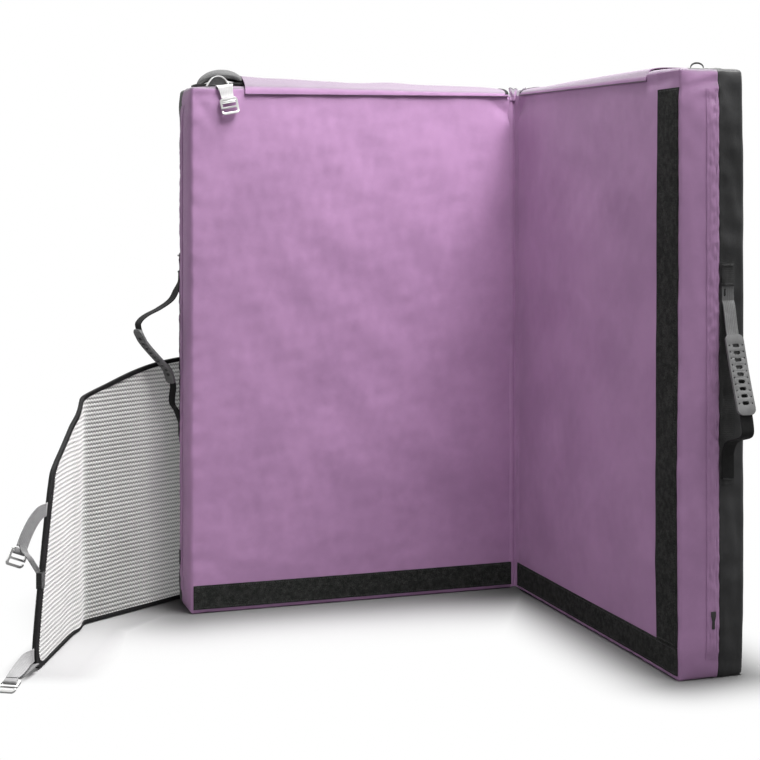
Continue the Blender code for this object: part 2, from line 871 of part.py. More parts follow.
def buckle_outline():
    """The open hook's outline, and the slot that holds the roller."""
    x, inner = buckle_width / 2, buckle_width / 2 - buckle_side
    slot_top, slot_low = -buckle_bar, -buckle_bar - buckle_slot_height
    hook_top = slot_low - buckle_middle_bar
    hook_low = hook_top - buckle_hook_height
    foot = hook_low - buckle_hook_bar
    tip = hook_top - buckle_mouth
    big, small = buckle_corner, buckle_inner_corner
    corners = (
        ((x, 0), big), ((-x, 0), big), ((-x, hook_top), small), ((inner, hook_top), small),
        ((inner, hook_low), small), ((-inner, hook_low), small), ((-inner, tip), small),
        ((-x, tip), small), ((-x, foot), big), ((x, foot), big),
    )
    outline = []
    for number, (corner, radius) in enumerate(corners):
        before, after = corners[number - 1][0], corners[(number + 1) % len(corners)][0]
        outline += corner_arc(before, corner, after, radius, 3 if radius == big else 2)
    slot = rounded_box(2 * inner, buckle_slot_height, small, (0, (slot_top + slot_low) / 2), 2)
    return outline, slot, hook_top, foot


def hook_buckle(name, frame, width, body, webbing):
    """A hook buckle bent from plate, its roller, and the strap's end round the roller.

    The frame's origin is where the strap bends, just above the top bar.
    """
    outline, slot, hook_top, foot = buckle_outline()
    bm = plate([outline, slot], buckle_plate)
    middle = (hook_top + foot) / 2
    for height in (hook_top, middle):
        geometry = bm.verts[:] + bm.edges[:] + bm.faces[:]
        bmesh.ops.bisect_plane(bm, geom=geometry, plane_co=(0, height, 0), plane_no=(0, 1, 0))
    stand = buckle_plate / 2 + seam_gap + webbing_thickness / 2
    drop = -buckle_hinge_gap

    def kicked(point):
        share = max(0, (hook_top - point.y) / (hook_top - foot))
        return point + Vector((0, drop, stand + buckle_kick * share**1.5))

    move_points(bm, kicked)
    face_outward(bm)
    part = add_part(f"{name}_buckle", bm, "steel", body, frame)
    round_edges(part, buckle_plate / 5, 1)

    roller_drop = drop - buckle_bar - roller_gap - roller_radius
    length = buckle_width - 2 * buckle_side - 2 * roller_gap
    roller = bmesh.new()
    bmesh.ops.create_cone(roller, cap_ends=True, segments=roller_sides, radius1=roller_radius,
                          radius2=roller_radius, depth=length)
    roller.transform(Matrix.Translation((0, roller_drop, stand))
                     @ Matrix.Rotation(math.pi / 2, 4, "Y"))
    part = add_part(f"{name}_roller", roller, "steel", body, frame)

    turn = roller_radius + seam_gap + webbing_thickness / 2
    half = Vector((width / 2, 0, 0))
    centres = [Vector((0, drop, 0)), Vector((0, roller_drop / 2, 0))]
    arc_steps = 6
    centres += [
        Vector((0, roller_drop - turn * math.sin(angle), stand - turn * math.cos(angle)))
        for angle in (math.pi * roller_wrap_share * step / arc_steps
                      for step in range(arc_steps + 1))
    ]
    part = add_part(f"{name}_strap_end", ribbon(centres, [half] * len(centres)), webbing, body,
                    frame)
    give_thickness(part, webbing_thickness)


def gear_flap(side, near, far):
    """A cloth flap sewn below the landing edge, lying back over the top wall."""
    lines = [near, *[w for w in cut_lines()[0] if near < w < far], far]
    rows = []
    for w in lines:
        row = []
        for back, up in flap_profile_shares:
            height = half_height - flap_seam_drop + flap_rise * up
            if back > 0:
                height = max(height, top_wall(w, flap_reach * back, flap_cloth + flap_rest_gap).z)
            row.append(Vector((w, flap_reach * back - flap_stand, height)))
        rows.append(row)
    flap = add_part(f"gear_flap_{side}", loft(rows), "purple_cloth", f"gear_flap_{side}",
                    half_frames[side])
    give_thickness(flap, flap_cloth)


def top_hook_loop():
    """The webbing loop on top of half B that takes the closure buckle."""
    steps = 10
    seat = seam_gap + loop_webbing / 2
    half = Vector((top_loop_length / 2, 0, 0))
    centres = []
    for step in range(steps + 1):
        angle = math.pi * step / steps
        across = -math.cos(angle) * top_loop_width / 2
        foot = top_wall(top_loop_from_fold, half_depth / 2 + across, seat)
        centres.append(foot + Vector((0, 0, math.sin(angle) * top_loop_height)))
    part = add_part("top_hook_loop", ribbon(centres, [half] * len(centres)), "black_webbing",
                    "half_b", half_frames["b"])
    give_thickness(part, loop_webbing)


def back_hook_loop(name, height):
    """A webbing loop on the back of half B that takes a cover flap's buckle."""
    steps = 8
    seat = seam_gap + loop_webbing / 2
    half = Vector((back_loop_width / 2, 0, 0))
    centres = []
    for step in range(steps + 1):
        share = step / steps
        z = height + back_loop_span * (share - 0.5)
        rise = back_loop_rise * math.sin(math.pi * share) ** loop_fullness
        centres.append(back_face(back_loop_from_fold, z, seat + rise))
    part = add_part(f"back_hook_loop_{name}", ribbon(centres, [half] * len(centres)),
                    "black_webbing", "half_b", half_frames["b"])
    give_thickness(part, loop_webbing)


def narrow_fold_end(bm, inward, end):
    """Thin a plate from one place along X towards a fold, so that it can turn there."""
    geometry = bm.verts[:] + bm.edges[:] + bm.faces[:]
    bmesh.ops.bisect_plane(bm, geom=geometry, plane_co=(inward, 0, 0), plane_no=(1, 0, 0))
    for vert in bm.verts:
        share = (vert.co.x - inward) / (end - inward)
        if share > 0:
            vert.co.z *= 1 - (1 - fold_edge_share) * share


def add_cover_piece(name, bm, finish, body, frame, folds):
    """Finish a flat piece of the cover flap: thin its folds and stand it in its plane."""
    for end, way in folds:
        narrow_fold_end(bm, end + way * fold_taper, end)
    face_outward(bm)
    add_part(name, bm, finish, body, frame)


def cover_top(along):
    """Height of the cover flap's top edge between the pad and the crease."""
    share = along / (hem_length + inner_length)
    for (a, fall_a), (b, fall_b) in zip(inner_drop_shares, inner_drop_shares[1:]):
        if share <= b:
            return hem_top - inner_drop * (fall_a + (fall_b - fall_a) * (share - a) / (b - a))
    return hem_top - inner_drop


def cover_stretch(start, end, offset, stations):
    """One straight stretch of the cover flap, mesh and both bindings, laid flat."""
    low, inner = cover_floor_gap, binding_width - sewn_depth
    alongs = [start + (end - start) * share for share in stations]
    upper = [Vector((along, cover_top(along + offset))) for along in alongs]
    mesh = [(start, low + inner), (end, low + inner)]
    mesh += [point - Vector((0, inner)) for point in reversed(upper)]
    tops = upper + [point - Vector((0, binding_width)) for point in reversed(upper)]
    high = low + binding_width
    piece = plate([mesh], mesh_thickness)
    for outline in (tops, [(start, low), (end, low), (end, high), (start, high)]):
        piece = unite(piece, plate([outline], binding_thickness))
    return piece


def inset_path(points, distances):
    """Points moved to the left of an open path, each stretch by its own distance."""
    moved = []
    for a, b, distance in zip(points, points[1:], distances):
        way = (b - a).normalized()
        shift = Vector((-way.y, way.x)) * distance
        moved.append((a + shift, b + shift))
    inner = [moved[0][0]]
    for (a, b), (c, d) in zip(moved, moved[1:]):
        u, v = b - a, d - c
        inner.append(a + u * ((c - a).cross(v) / u.cross(v)))
    return inner + [moved[-1][1]]


def outer_path(inset=False, gap=0.0):
    """The outer stretch's edge, from the crease along the floor and back over the top."""
    start = fold_half_gap
    points = [Vector((start, cover_floor_gap)), Vector((outer_length, cover_floor_gap))]
    points += [
        Vector((max(outer_length * along, start), outer_height * up))
        for along, up in reversed(outer_outline_shares)
    ]
    radii = [0, outer_corner, 0, 0, outer_shoulder, 0, 0]
    if inset:
        widths = [binding_width, *[edge_binding_width] * 3, binding_width, binding_width]
        points = inset_path(points, [width - gap for width in widths])
        points[-1] += (points[-2] - points[-1]) * ((start - points[-1].x)
                                                   / (points[-2].x - points[-1].x))
        radii = [radius / 2 for radius in radii]
    path = []
    for number, (point, radius) in enumerate(zip(points, radii)):
        if radius:
            path += corner_arc(points[number - 1], point, points[number + 1], radius, 4)
        else:
            path.append(point)
    return path


def cover_flap():
    """The mesh flap: a sewn hem, the stretch over the end walls, and the outer stretch."""
    far = hem_length - fold_half_gap
    add_cover_piece("cover_flap_hem", cover_stretch(cover_root_gap, far, 0, (0, 0.5, 1)),
                    "spacer_mesh", "half_a", standing_frame(cover_root, cover_way), [(far, -1)])
    near, far = fold_half_gap, inner_length - fold_half_gap
    piece = cover_stretch(near, far, hem_length, (0, 0.25, 0.5, 0.75, 1))
    add_cover_piece("cover_flap_inner", piece, "spacer_mesh", "cover_flap_inner",
                    standing_frame(hem_end, cover_way), [(near, 1), (far, -1)])
    frame, folds = standing_frame(crease, outer_way), [(fold_half_gap, 1)]
    mesh = plate([outer_path(True)], mesh_thickness)
    binding = plate([outer_path() + outer_path(True, seam_gap)[::-1]], binding_thickness)
    add_cover_piece("cover_mesh_outer", mesh, "spacer_mesh", "cover_flap_outer", frame, folds)
    add_cover_piece("cover_binding_outer", binding, "black_cloth", "cover_flap_outer", frame, folds)


def outer_edge(height):
    """Distance from the crease to the cover flap's free edge at a height."""
    path = outer_path()
    return max(
        a.x + (b.x - a.x) * (height - a.y) / (b.y - a.y)
        for a, b in zip(path, path[1:]) if a.y < height <= b.y
    )


def strap_line(which):
    """Direction, root gap and points of one cover flap strap, up to its buckle."""
    gap, height, angle, reach, fall, shares = {
        "upper": (upper_strap_root_gap, upper_strap_height, upper_strap_angle,
                  upper_strap_reach, upper_strap_fall, upper_strap_shares),
        "lower": (lower_strap_root_gap, lower_strap_height, lower_strap_angle,
                  lower_strap_reach, lower_strap_fall, lower_strap_shares),
    }[which]
    way = Vector((math.cos(angle), math.sin(angle), 0))
    start = outer_edge(height) + gap + strap_root_reach
    root = crease + outer_way * start + Vector((0, 0, height))
    line = smooth([root + way * (reach * a) - Vector((0, 0, fall * b)) for a, b in shares])
    return way, gap, line


def cover_strap(which, twist=0.0):
    """A strap on the cover flap's free edge, with a hook buckle at its end."""
    way, gap, line = strap_line(which)
    normal = way.cross(Vector((0, 0, 1)))
    half = cover_strap_width / 2
    sides = []
    for number, point in enumerate(line):
        before, after = line[max(number - 1, 0)], line[min(number + 1, len(line) - 1)]
        along = (after - before).normalized()
        turn = Matrix.Rotation(twist * number / (len(line) - 1), 3, along)
        sides.append(turn @ normal.cross(along).normalized() * half)
    top, low = (outer_way * (outer_edge(height) + gap) + Vector((0, 0, height))
                for height in (line[0].z + half, line[0].z - half))
    centres = [crease + (top + low) / 2, *line[1:]]
    part = add_part(f"cover_strap_{which}", ribbon(centres, [(top - low) / 2, *sides[1:]]),
                    "grey_webbing", "cover_flap_outer")
    give_thickness(part, webbing_thickness)
    across = sides[-1].normalized()
    down = (line[-1] - line[-2]).normalized()
    frame = Matrix((across, -down, across.cross(-down))).transposed().to_4x4()
    place = Matrix.Translation(line[-1] + down * buckle_hinge_gap)
    hook_buckle(f"cover_{which}", place @ frame, cover_strap_width, f"cover_buckle_{which}",
                "grey_webbing")


def yoke():
    """The reinforced panel that carries the shoulder straps."""
    middle, top = half_width / 2, half_height - yoke_top_drop
    bm = block((middle - yoke_width / 2, half_depth + seam_gap, top - yoke_height),
               (middle + yoke_width / 2, half_depth + seam_gap + patch_thickness, top),
               cut_lines())
    move_points(bm, swell)
    add_part("harness_yoke", bm, "black_cloth", "half_a", half_frames["a"])


def shoulder_strap(name, way):
    """A padded strap, its ladder lock and the webbing down to the pad's lower edge."""
    middle = half_width / 2
    top = half_height - yoke_top_drop - yoke_height / 2
    seat = 2 * seam_gap + patch_thickness + shoulder_thickness / 2
    steps = 10
    centres = []
    for step in range(-1, steps + 1):
        share = max(step / steps, 0)
        w = middle + way * (shoulder_top_spread
                            + (shoulder_low_spread - shoulder_top_spread) * share**1.5)
        rise = shoulder_rise * math.sin(math.pi * share) ** 0.8
        flat = shoulder_sewn if step < 0 else 0
        centres.append(back_face(w, top + (shoulder_end - top) * share + flat, seat + rise))
    rows = []
    for number, centre in enumerate(centres):
        before, after = centres[max(number - 1, 0)], centres[min(number + 1, steps + 1)]
        side = Vector((0, 1, 0)).cross(after - before).normalized() * shoulder_width / 2
        rows.append((centre - side, centre, centre + side))
    part = add_part(f"shoulder_strap_{name}", loft(rows), "black_cloth", "half_a",
                    half_frames["a"])
    give_thickness(part, shoulder_thickness)
    round_edges(part, shoulder_thickness / 3, 2)

    low = centres[-1]
    flat = seam_gap + webbing_thickness / 2
    top, foot = shoulder_end - shoulder_gap, hip_top - lower_webbing_tuck
    webbing = [
        back_face(low.x + way * lower_webbing_spread * along, top + (foot - top) * along,
                  seat + (flat - seat) * settled)
        for along, settled in lower_webbing_shares
    ]
    half = Vector((lower_webbing_width / 2, 0, 0))
    part = add_part(f"shoulder_webbing_{name}", ribbon(webbing, [half] * len(webbing)),
                    "black_webbing", "half_a", half_frames["a"])
    give_thickness(part, webbing_thickness)

    window = (ladder_height - 3 * ladder_bar) / 2
    offset = (window + ladder_bar) / 2
    wide = ladder_width - 2 * ladder_bar
    lock = plate([
        rounded_box(ladder_width, ladder_height, ladder_bar / 2),
        rounded_box(wide, window, ladder_bar / 5, (0, offset), 1),
        rounded_box(wide, window, ladder_bar / 5, (0, -offset), 1),
    ], ladder_thickness)
    out = seat + webbing_thickness / 2 + seam_gap + ladder_thickness / 2
    place = back_face(low.x + way * lower_webbing_spread * ladder_out_share,
                      top - ladder_height / 2 - shoulder_gap, out)
    frame = half_frames["a"] @ Matrix.Translation(place) @ Matrix(
        ((1, 0, 0), (0, 0, 1), (0, 1, 0))).to_4x4()
    lock.transform(frame)
    face_outward(lock)
    part = add_part(f"ladder_lock_{name}", lock, "black_plastic", "half_a")
    round_edges(part, ladder_thickness / 5, 1)


def hip_root(way):
    """Where a hip wing is sewn to the back of half A, in the half's frame."""
    out = seam_gap + hip_stand + hip_pad_thickness
    return back_face(half_width / 2 + way * hip_root_spread, hip_centre_height, out)


def lumbar_pad():
    """The fixed middle of the hip belt, between its two wings."""
    half, high = hip_root_spread - hip_hinge_gap, hip_pad_height / 2
    middle = half_width / 2
    bm = block((middle - half, half_depth + seam_gap, hip_centre_height - high),
               (middle + half, half_depth + seam_gap + hip_stand + hip_pad_thickness,
                hip_centre_height + high), cut_lines())
    move_points(bm, swell)
    add_part("lumbar_pad", bm, "black_cloth", "half_a", half_frames["a"])


def hip_wing(name, way, piece):
    """One padded wing of the hip belt with its webbing and its half of the buckle."""
    x, y = hip_pad_length, hip_pad_height / 2
    tip = y * hip_tip_share
    outline = [Vector((hip_hinge_gap, -y)), *corner_arc((0, -y), (x, -tip), (x, tip), hip_corner),
               *corner_arc((x, -tip), (x, tip), (0, y), hip_corner), Vector((hip_hinge_gap, y))]
    wing = plate([outline], hip_pad_thickness)
    inward = Matrix.Translation((0, 0, -hip_pad_thickness / 2))
    start, end = x + seam_gap, x + hip_webbing_length + hip_corner / 2
    half = hip_webbing_width / 2
    webbing = plate([[(start, -half), (end, -half), (end, half), (start, half)]],
                    webbing_thickness)
    start, half, prong = x + hip_webbing_length, hip_buckle_width / 2, hip_buckle_width / 6
    middle, end = start + hip_buckle_length / 2, start + hip_buckle_length
    if piece == "socket":
        shape = rounded_box(hip_buckle_length, hip_buckle_width, prong, (middle, 0))
    else:
        shape = [(start, -half), (middle, -half), (end, -half + prong), (end, -prong),
                 (middle, -prong), (middle, prong), (end, prong), (end, half - prong),
                 (middle, half), (start, half)]
    webbing = unite(webbing, plate([shape], hip_buckle_thickness))
    frame = half_frames["a"] @ Matrix.Translation(hip_root(way)) @ Matrix(
        ((way, 0, 0), (0, 0, 1), (0, 1, 0))).to_4x4()
    for bm in (wing, webbing):
        bm.transform(frame @ inward)
        face_outward(bm)
    body = f"hip_wing_{name}"
    round_edges(add_part(body, wing, "black_cloth", body), hip_pad_thickness / 4)
    add_part(f"hip_buckle_{piece}", webbing, "black_plastic", body)


def build_half(side):
    """What both halves have: covers, foam, hinge cloth, zip and side handle."""
    room = cover_wall + foam_room
    gap = seam_gap / 2
    foam_split = room + closed_cell_thickness
    cover_tray("landing_cover", side, 0, landing_depth - gap, landing_depth - gap, "purple_cloth")
    cover_tray("base_cover", side, landing_depth + gap, half_depth, landing_depth + gap,
               "black_cloth")
    foam_slab("closed_cell_foam", side, room, foam_split, "closed_cell_foam")
    foam_slab("open_cell_foam", side, foam_split + seam_gap, half_depth - room, "open_cell_foam")
    fold_seam(side)
    zip_set(side)
    side_handle(side)


def add_pivots():
    """One empty for each body, on its joint's axis."""
    add_pivot("half_a", (0, 0, 0))
    add_pivot("half_b", (axis_x, axis_y, 0), "half_a")
    for side in "ab":
        frame, half = half_frames[side], f"half_{side}"
        middle = (half_width, landing_depth - placket_from_boundary, slider_parked_height)
        add_pivot(f"zip_slider_{side}", frame @ Vector(middle), half)
        add_pivot(f"side_handle_{side}", frame @ Vector((half_width, handle_from_landing, 0)),
                  half)
        seam = Vector((0, -flap_stand, half_height - flap_seam_drop))
        add_pivot(f"gear_flap_{side}", frame @ seam, half)
    frame = half_frames["a"]
    add_pivot("closure_strap", frame @ tail_start(), "half_a")
    add_pivot("closure_buckle", closure_buckle_frame().translation, "closure_strap")
    add_pivot("cover_flap_inner", hem_end, "half_a")
    add_pivot("cover_flap_outer", crease, "cover_flap_inner")
    for which in ("upper", "lower"):
        end = strap_line(which)[2]
        place = end[-1] + (end[-1] - end[-2]).normalized() * buckle_hinge_gap
        add_pivot(f"cover_buckle_{which}", place, "cover_flap_outer")
    for name, way in (("left", 1), ("right", -1)):
        add_pivot(f"hip_wing_{name}", frame @ hip_root(way), "half_a")


clear_scene()
pad = collection("bouldering_crash_pad")
pivots = {}
add_pivots()
for side in "ab":
    build_half(side)
add_hook_strips()
gear_flap("a", flap_a_from_fold, flap_a_from_fold + flap_a_length)
gear_flap("b", flap_b_from_fold, flap_b_from_fold + flap_b_length)
carry_handle()
closure_strap()
top_hook_loop()
for name, height in zip(("upper", "lower"), back_loop_heights):
    back_hook_loop(name, height)
cover_flap()
cover_strap("upper")
cover_strap("lower", lower_strap_twist)
yoke()
lumbar_pad()
shoulder_strap("left", 1)
shoulder_strap("right", -1)
hip_wing("left", 1, "socket")
hip_wing("right", -1, "plug")
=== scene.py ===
# %% [markdown]
# # A bouldering crash pad, dressed
#
# A folding foam pad: two thick halves in purple and black nylon, open at a right angle, with
# a mesh cover flap, side handles, straps and hook buckles. The solid model is loaded first
# and stays as it is. Each soft piece is made again as cloth over its solid, and rides on the
# same moving part.

# %% The solid model
import json
import math

import bpy
import numpy as np
from mathutils import Matrix

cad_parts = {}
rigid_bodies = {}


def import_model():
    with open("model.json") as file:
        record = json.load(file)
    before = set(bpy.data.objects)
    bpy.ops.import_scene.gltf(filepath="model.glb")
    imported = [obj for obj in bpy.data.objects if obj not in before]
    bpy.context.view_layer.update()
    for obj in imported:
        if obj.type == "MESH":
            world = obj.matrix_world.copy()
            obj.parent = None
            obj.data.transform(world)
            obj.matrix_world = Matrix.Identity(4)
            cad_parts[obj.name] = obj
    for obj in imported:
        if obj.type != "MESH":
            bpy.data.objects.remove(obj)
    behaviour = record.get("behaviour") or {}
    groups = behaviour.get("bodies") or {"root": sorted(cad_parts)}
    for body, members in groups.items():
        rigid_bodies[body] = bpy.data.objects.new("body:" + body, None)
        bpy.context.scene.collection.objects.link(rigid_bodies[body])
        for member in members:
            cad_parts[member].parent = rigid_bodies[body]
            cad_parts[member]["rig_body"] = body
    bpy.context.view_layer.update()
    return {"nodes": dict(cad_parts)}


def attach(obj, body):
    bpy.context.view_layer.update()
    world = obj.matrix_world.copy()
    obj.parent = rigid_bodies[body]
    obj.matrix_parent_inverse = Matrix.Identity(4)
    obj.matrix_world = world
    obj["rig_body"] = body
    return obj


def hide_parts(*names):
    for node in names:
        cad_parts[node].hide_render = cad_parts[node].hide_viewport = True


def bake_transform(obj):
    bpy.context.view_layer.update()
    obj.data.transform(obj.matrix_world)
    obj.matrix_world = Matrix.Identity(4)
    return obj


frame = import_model()

# %% [markdown]
# ## Measures
#
# The lengths that the solid model uses too are written again here. Each half has its own
# directions: w from the fold to the free end, t from the landing face to the back, z up. So
# one function draws both halves, and a single line puts the result in the room.

# %% Measures of the halves
half_width, half_depth, half_height = 0.604, 0.108, 0.914
landing_depth = half_depth * 0.588
landing_crown, back_crown = 0.005, 0.004
end_swell, hinge_swell, top_swell = 0.0065, 0.001, 0.008
fold_x, fold_y = 0.306, -0.0565
hinge_setback, hinge_stand = 0.004, 0.0025


def swell(points):
    """The bulge of the foam. Each wall moves outwards by a plateau that falls to nothing at
    the wall's edges: one minus the distance from its middle, to a power."""
    w, t, z = np.moveaxis(points, -1, 0)
    across, through, up = 2 * w / half_width - 1, 2 * t / half_depth - 1, 2 * z / half_height - 1
    face = np.maximum(0, 1 - across**2) * np.maximum(0, 1 - up**4)
    wall = np.maximum(0, 1 - through**4)
    deep, far, high = t / half_depth, w / half_width, z / half_height
    return np.stack([
        w + (end_swell * far - hinge_swell * (1 - far)) * wall * np.maximum(0, 1 - up**20),
        t + (back_crown * deep - landing_crown * (1 - deep)) * face,
        z + top_swell * high * wall * np.maximum(0, 1 - across**4),
    ], -1)


def in_room(side, points):
    """A half's own w, t, z as places in the room. Half A runs along X, half B along -Y."""
    w, t, z = np.moveaxis(points, -1, 0)
    if side == "a":
        return np.stack([half_width / 2 - w, t - half_depth / 2, z], -1)
    return np.stack([fold_x + hinge_stand + t, fold_y - hinge_setback - w, z], -1)


print("each half is", half_width, "by", half_depth, "by", half_height, "metres")

# %% [markdown]
# ## Camera
#
# The photograph's vertical edges stay parallel, so the camera was level, and the picture is
# the lower part of its frame: a vertical shift. A tilt would make the edges lean.

# %% The camera
def in_scene(name, data):
    """A new object in the scene."""
    made = bpy.data.objects.new(name, data)
    bpy.context.scene.collection.objects.link(made)
    return made


camera = bpy.data.cameras.new("camera")
camera.sensor_width, camera.lens, camera.shift_y = 36, 74.9, -0.2316
stand = in_scene("camera", camera)
stand.location = (-0.8603, -2.7558, 0.711)
stand.rotation_euler = (math.radians(90), 0, math.radians(-18.48))
bpy.context.scene.camera = stand
bpy.context.scene.view_settings.view_transform = "Standard"
print("camera of", camera.lens, "mm")

# %% [markdown]
# ## From a formula to a mesh
#
# Every new piece is a grid of points worked out at once with numpy, and its rows and columns
# become quads. A shell moves the grid half its thickness to both sides and joins the rims.
# The distance along and across the cloth is kept as a UV map, so that a weave follows it.

# %% Grids, shells and rings
def unit(vectors):
    """Vectors divided by their lengths."""
    return vectors / np.maximum(np.linalg.norm(vectors, axis=-1, keepdims=True), 1e-12)


def run(points, axis=0):
    """Distance walked along one direction of a grid."""
    steps = np.linalg.norm(np.diff(points, axis=axis), axis=-1)
    return np.concatenate([np.zeros_like(np.take(steps, [0], axis)), np.cumsum(steps, axis)],
                          axis)


def grid_normals(grid):
    """The cross product of a grid's two directions, at unit length."""
    return unit(np.cross(np.gradient(grid, axis=0), np.gradient(grid, axis=1)))


def numbered(grid):
    """The numbers of a grid's points, row by row."""
    return np.arange(grid.shape[0] * grid.shape[1]).reshape(grid.shape[:2])


def quads(number):
    """The squares between numbered points."""
    return np.stack([number[:-1, :-1], number[1:, :-1], number[1:, 1:], number[:-1, 1:]],
                    -1).reshape(-1, 4)


def add_piece(name, points, faces, finish, uv=None, corner_uv=None, crisp=40):
    """A mesh object from points and faces, shaded smooth but for its sharp edges."""
    mesh = bpy.data.meshes.new(name)
    mesh.from_pydata(points.reshape(-1, 3).tolist(), [], faces)
    if uv is not None:
        corner_uv = uv.reshape(-1, 2)[[number for face in faces for number in face]]
    if corner_uv is not None:
        mesh.uv_layers.new(name="cloth").data.foreach_set(
            "uv", corner_uv.astype(np.float32).ravel())
    mesh.polygons.foreach_set("use_smooth", np.ones(len(mesh.polygons), bool))
    mesh.set_sharp_from_angle(angle=math.radians(crisp))
    mesh.materials.append(finish)
    mesh.update()
    return in_scene(name, mesh)


def shell(name, grid, thickness, finish, uv=None, crisp=40):
    """A closed sheet: each point moved half the thickness to both sides along the grid's
    normal, and a wall along the rim."""
    number = numbered(grid)
    move = grid_normals(grid) * np.asarray(thickness)[..., None] / 2
    rim = np.concatenate([number[0, :-1], number[:-1, -1], number[-1, :0:-1], number[:0:-1, 0]])
    after, below = np.roll(rim, -1), number.size
    faces = np.concatenate([quads(number), quads(number + below)[:, ::-1],
                            np.stack([rim, after, after + below, rim + below], -1)])
    if uv is None:
        uv = np.stack([run(grid, 0), run(grid, 1)], -1)
    return add_piece(name, np.stack([grid + move, grid - move]), faces.tolist(), finish,
                     np.stack([uv, uv]), crisp=crisp)


def ring_sweep(name, rings, finish):
    """A closed skin through rings of points, one ring after another, with flat ends."""
    number = numbered(rings)
    around = quads(np.concatenate([number, number[:, :1]], 1))[:, [0, 3, 2, 1]]
    faces = [*around.tolist(), number[0, ::-1].tolist(), number[-1].tolist()]
    return add_piece(name, rings, faces, finish, np.stack([run(rings, 0), run(rings, 1)], -1))


# %% [markdown]
# A strap is a flat grid along a curve. A Catmull-Rom blend draws the curve, because it passes
# through every point that was read from the photograph.

# %% Curves and straps
def curve(points, steps=8):
    """A Catmull-Rom curve: between two points, a cubic whose slopes are half the way from
    the point before to the point after."""
    points = np.asarray(points, float)
    line = np.concatenate([[2 * points[0] - points[1]], points, [2 * points[-1] - points[-2]]])
    a, b, c, d = (line[k:len(line) - 3 + k, None] for k in range(4))
    u = (np.arange(steps) / steps)[None, :, None]
    bend = b + (c - a) * u / 2 + (2 * a - 5 * b + 4 * c - d) * u**2 / 2 \
        + (3 * b - a - 3 * c + d) * u**3 / 2
    return np.concatenate([bend.reshape(-1, points.shape[1]), points[-1:]])


def at_places(places, walked, values):
    """Each coordinate of a line's values, read at places along its walk."""
    return np.stack([np.interp(places, walked, values[:, k]) for k in range(values.shape[1])],
                    -1)


def even(points, count):
    """The same line with its points at even distances."""
    walked = run(points)
    return at_places(np.linspace(0, walked[-1], count), walked, points)


def ribbon(middle, side, width, columns=9):
    """A flat grid: a middle line plus shares of a width along the side vectors."""
    share = np.linspace(-0.5, 0.5, columns)[None, :, None]
    side = unit(np.broadcast_to(np.asarray(side, float), middle.shape))
    return middle[:, None] + side[:, None] * share * np.asarray(width).reshape(-1, 1, 1)


def strap(name, middle, side, width, thickness, finish):
    """A flat strap along a middle line."""
    return shell(name, ribbon(middle, side, width), thickness, finish)


def ride(piece, body, slot, *stands_for):
    """Fix a piece to a moving part, or, spread between two parts, leave it where it is.
    The slot, which names its finish, is not used. Then let it stand for solid nodes."""
    if isinstance(body, str):
        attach(piece, body)
    else:
        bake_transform(piece)
    if stands_for:
        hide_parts(*stands_for)
    return piece


def stitches(name, path, out, finish, body, slot, pitch=0.0042, length=0.0028, width=0.0009):
    """A row of thread stitches. Each is an eight-sided grain with its long axis along the
    seam, so that a row of hundreds stays light."""
    walked = run(path)
    places = np.arange(pitch / 2, walked[-1], pitch)
    line = at_places(places, walked, path)
    up = unit(at_places(places, walked, np.broadcast_to(np.asarray(out, float), path.shape)))
    along = unit(np.gradient(line, axis=0))
    across = unit(np.cross(up, along))
    corners = np.stack([line + way * size for way, size in (
        (along, -length / 2), (along, length / 2), (across, -width / 2), (across, width / 2),
        (up, -width / 2), (up, width / 2))], 1)
    one = np.array([(0, 2, 5), (2, 1, 5), (1, 3, 5), (3, 0, 5),
                    (2, 0, 4), (1, 2, 4), (3, 1, 4), (0, 3, 4)])
    faces = (one[None] + 6 * np.arange(len(line))[:, None, None]).reshape(-1, 3)
    return ride(add_piece(name, corners, faces.tolist(), finish, crisp=80), body, slot)


def ripple(u, v, seed, low, high):
    """Soft unevenness: nine sines, each with its own length, direction and phase, added up
    and divided by the root of their number."""
    draw = np.random.default_rng(seed)
    size = 2 * np.pi / draw.uniform(low, high, 9)
    turn, phase = draw.uniform(0, np.pi, 9), draw.uniform(0, 2 * np.pi, 9)
    u, v = u[..., None], v[..., None]
    return np.sin(size * (u * np.cos(turn) + v * np.sin(turn)) + phase).sum(-1) / 3


print("helpers are ready")

# %% [markdown]
# ## Writing shader maths in Python
#
# Drawn as a graph of nodes, a formula such as a woven pattern becomes a long chain of boxes.
# One small class wraps a socket, and Python's own operators add the Math nodes.

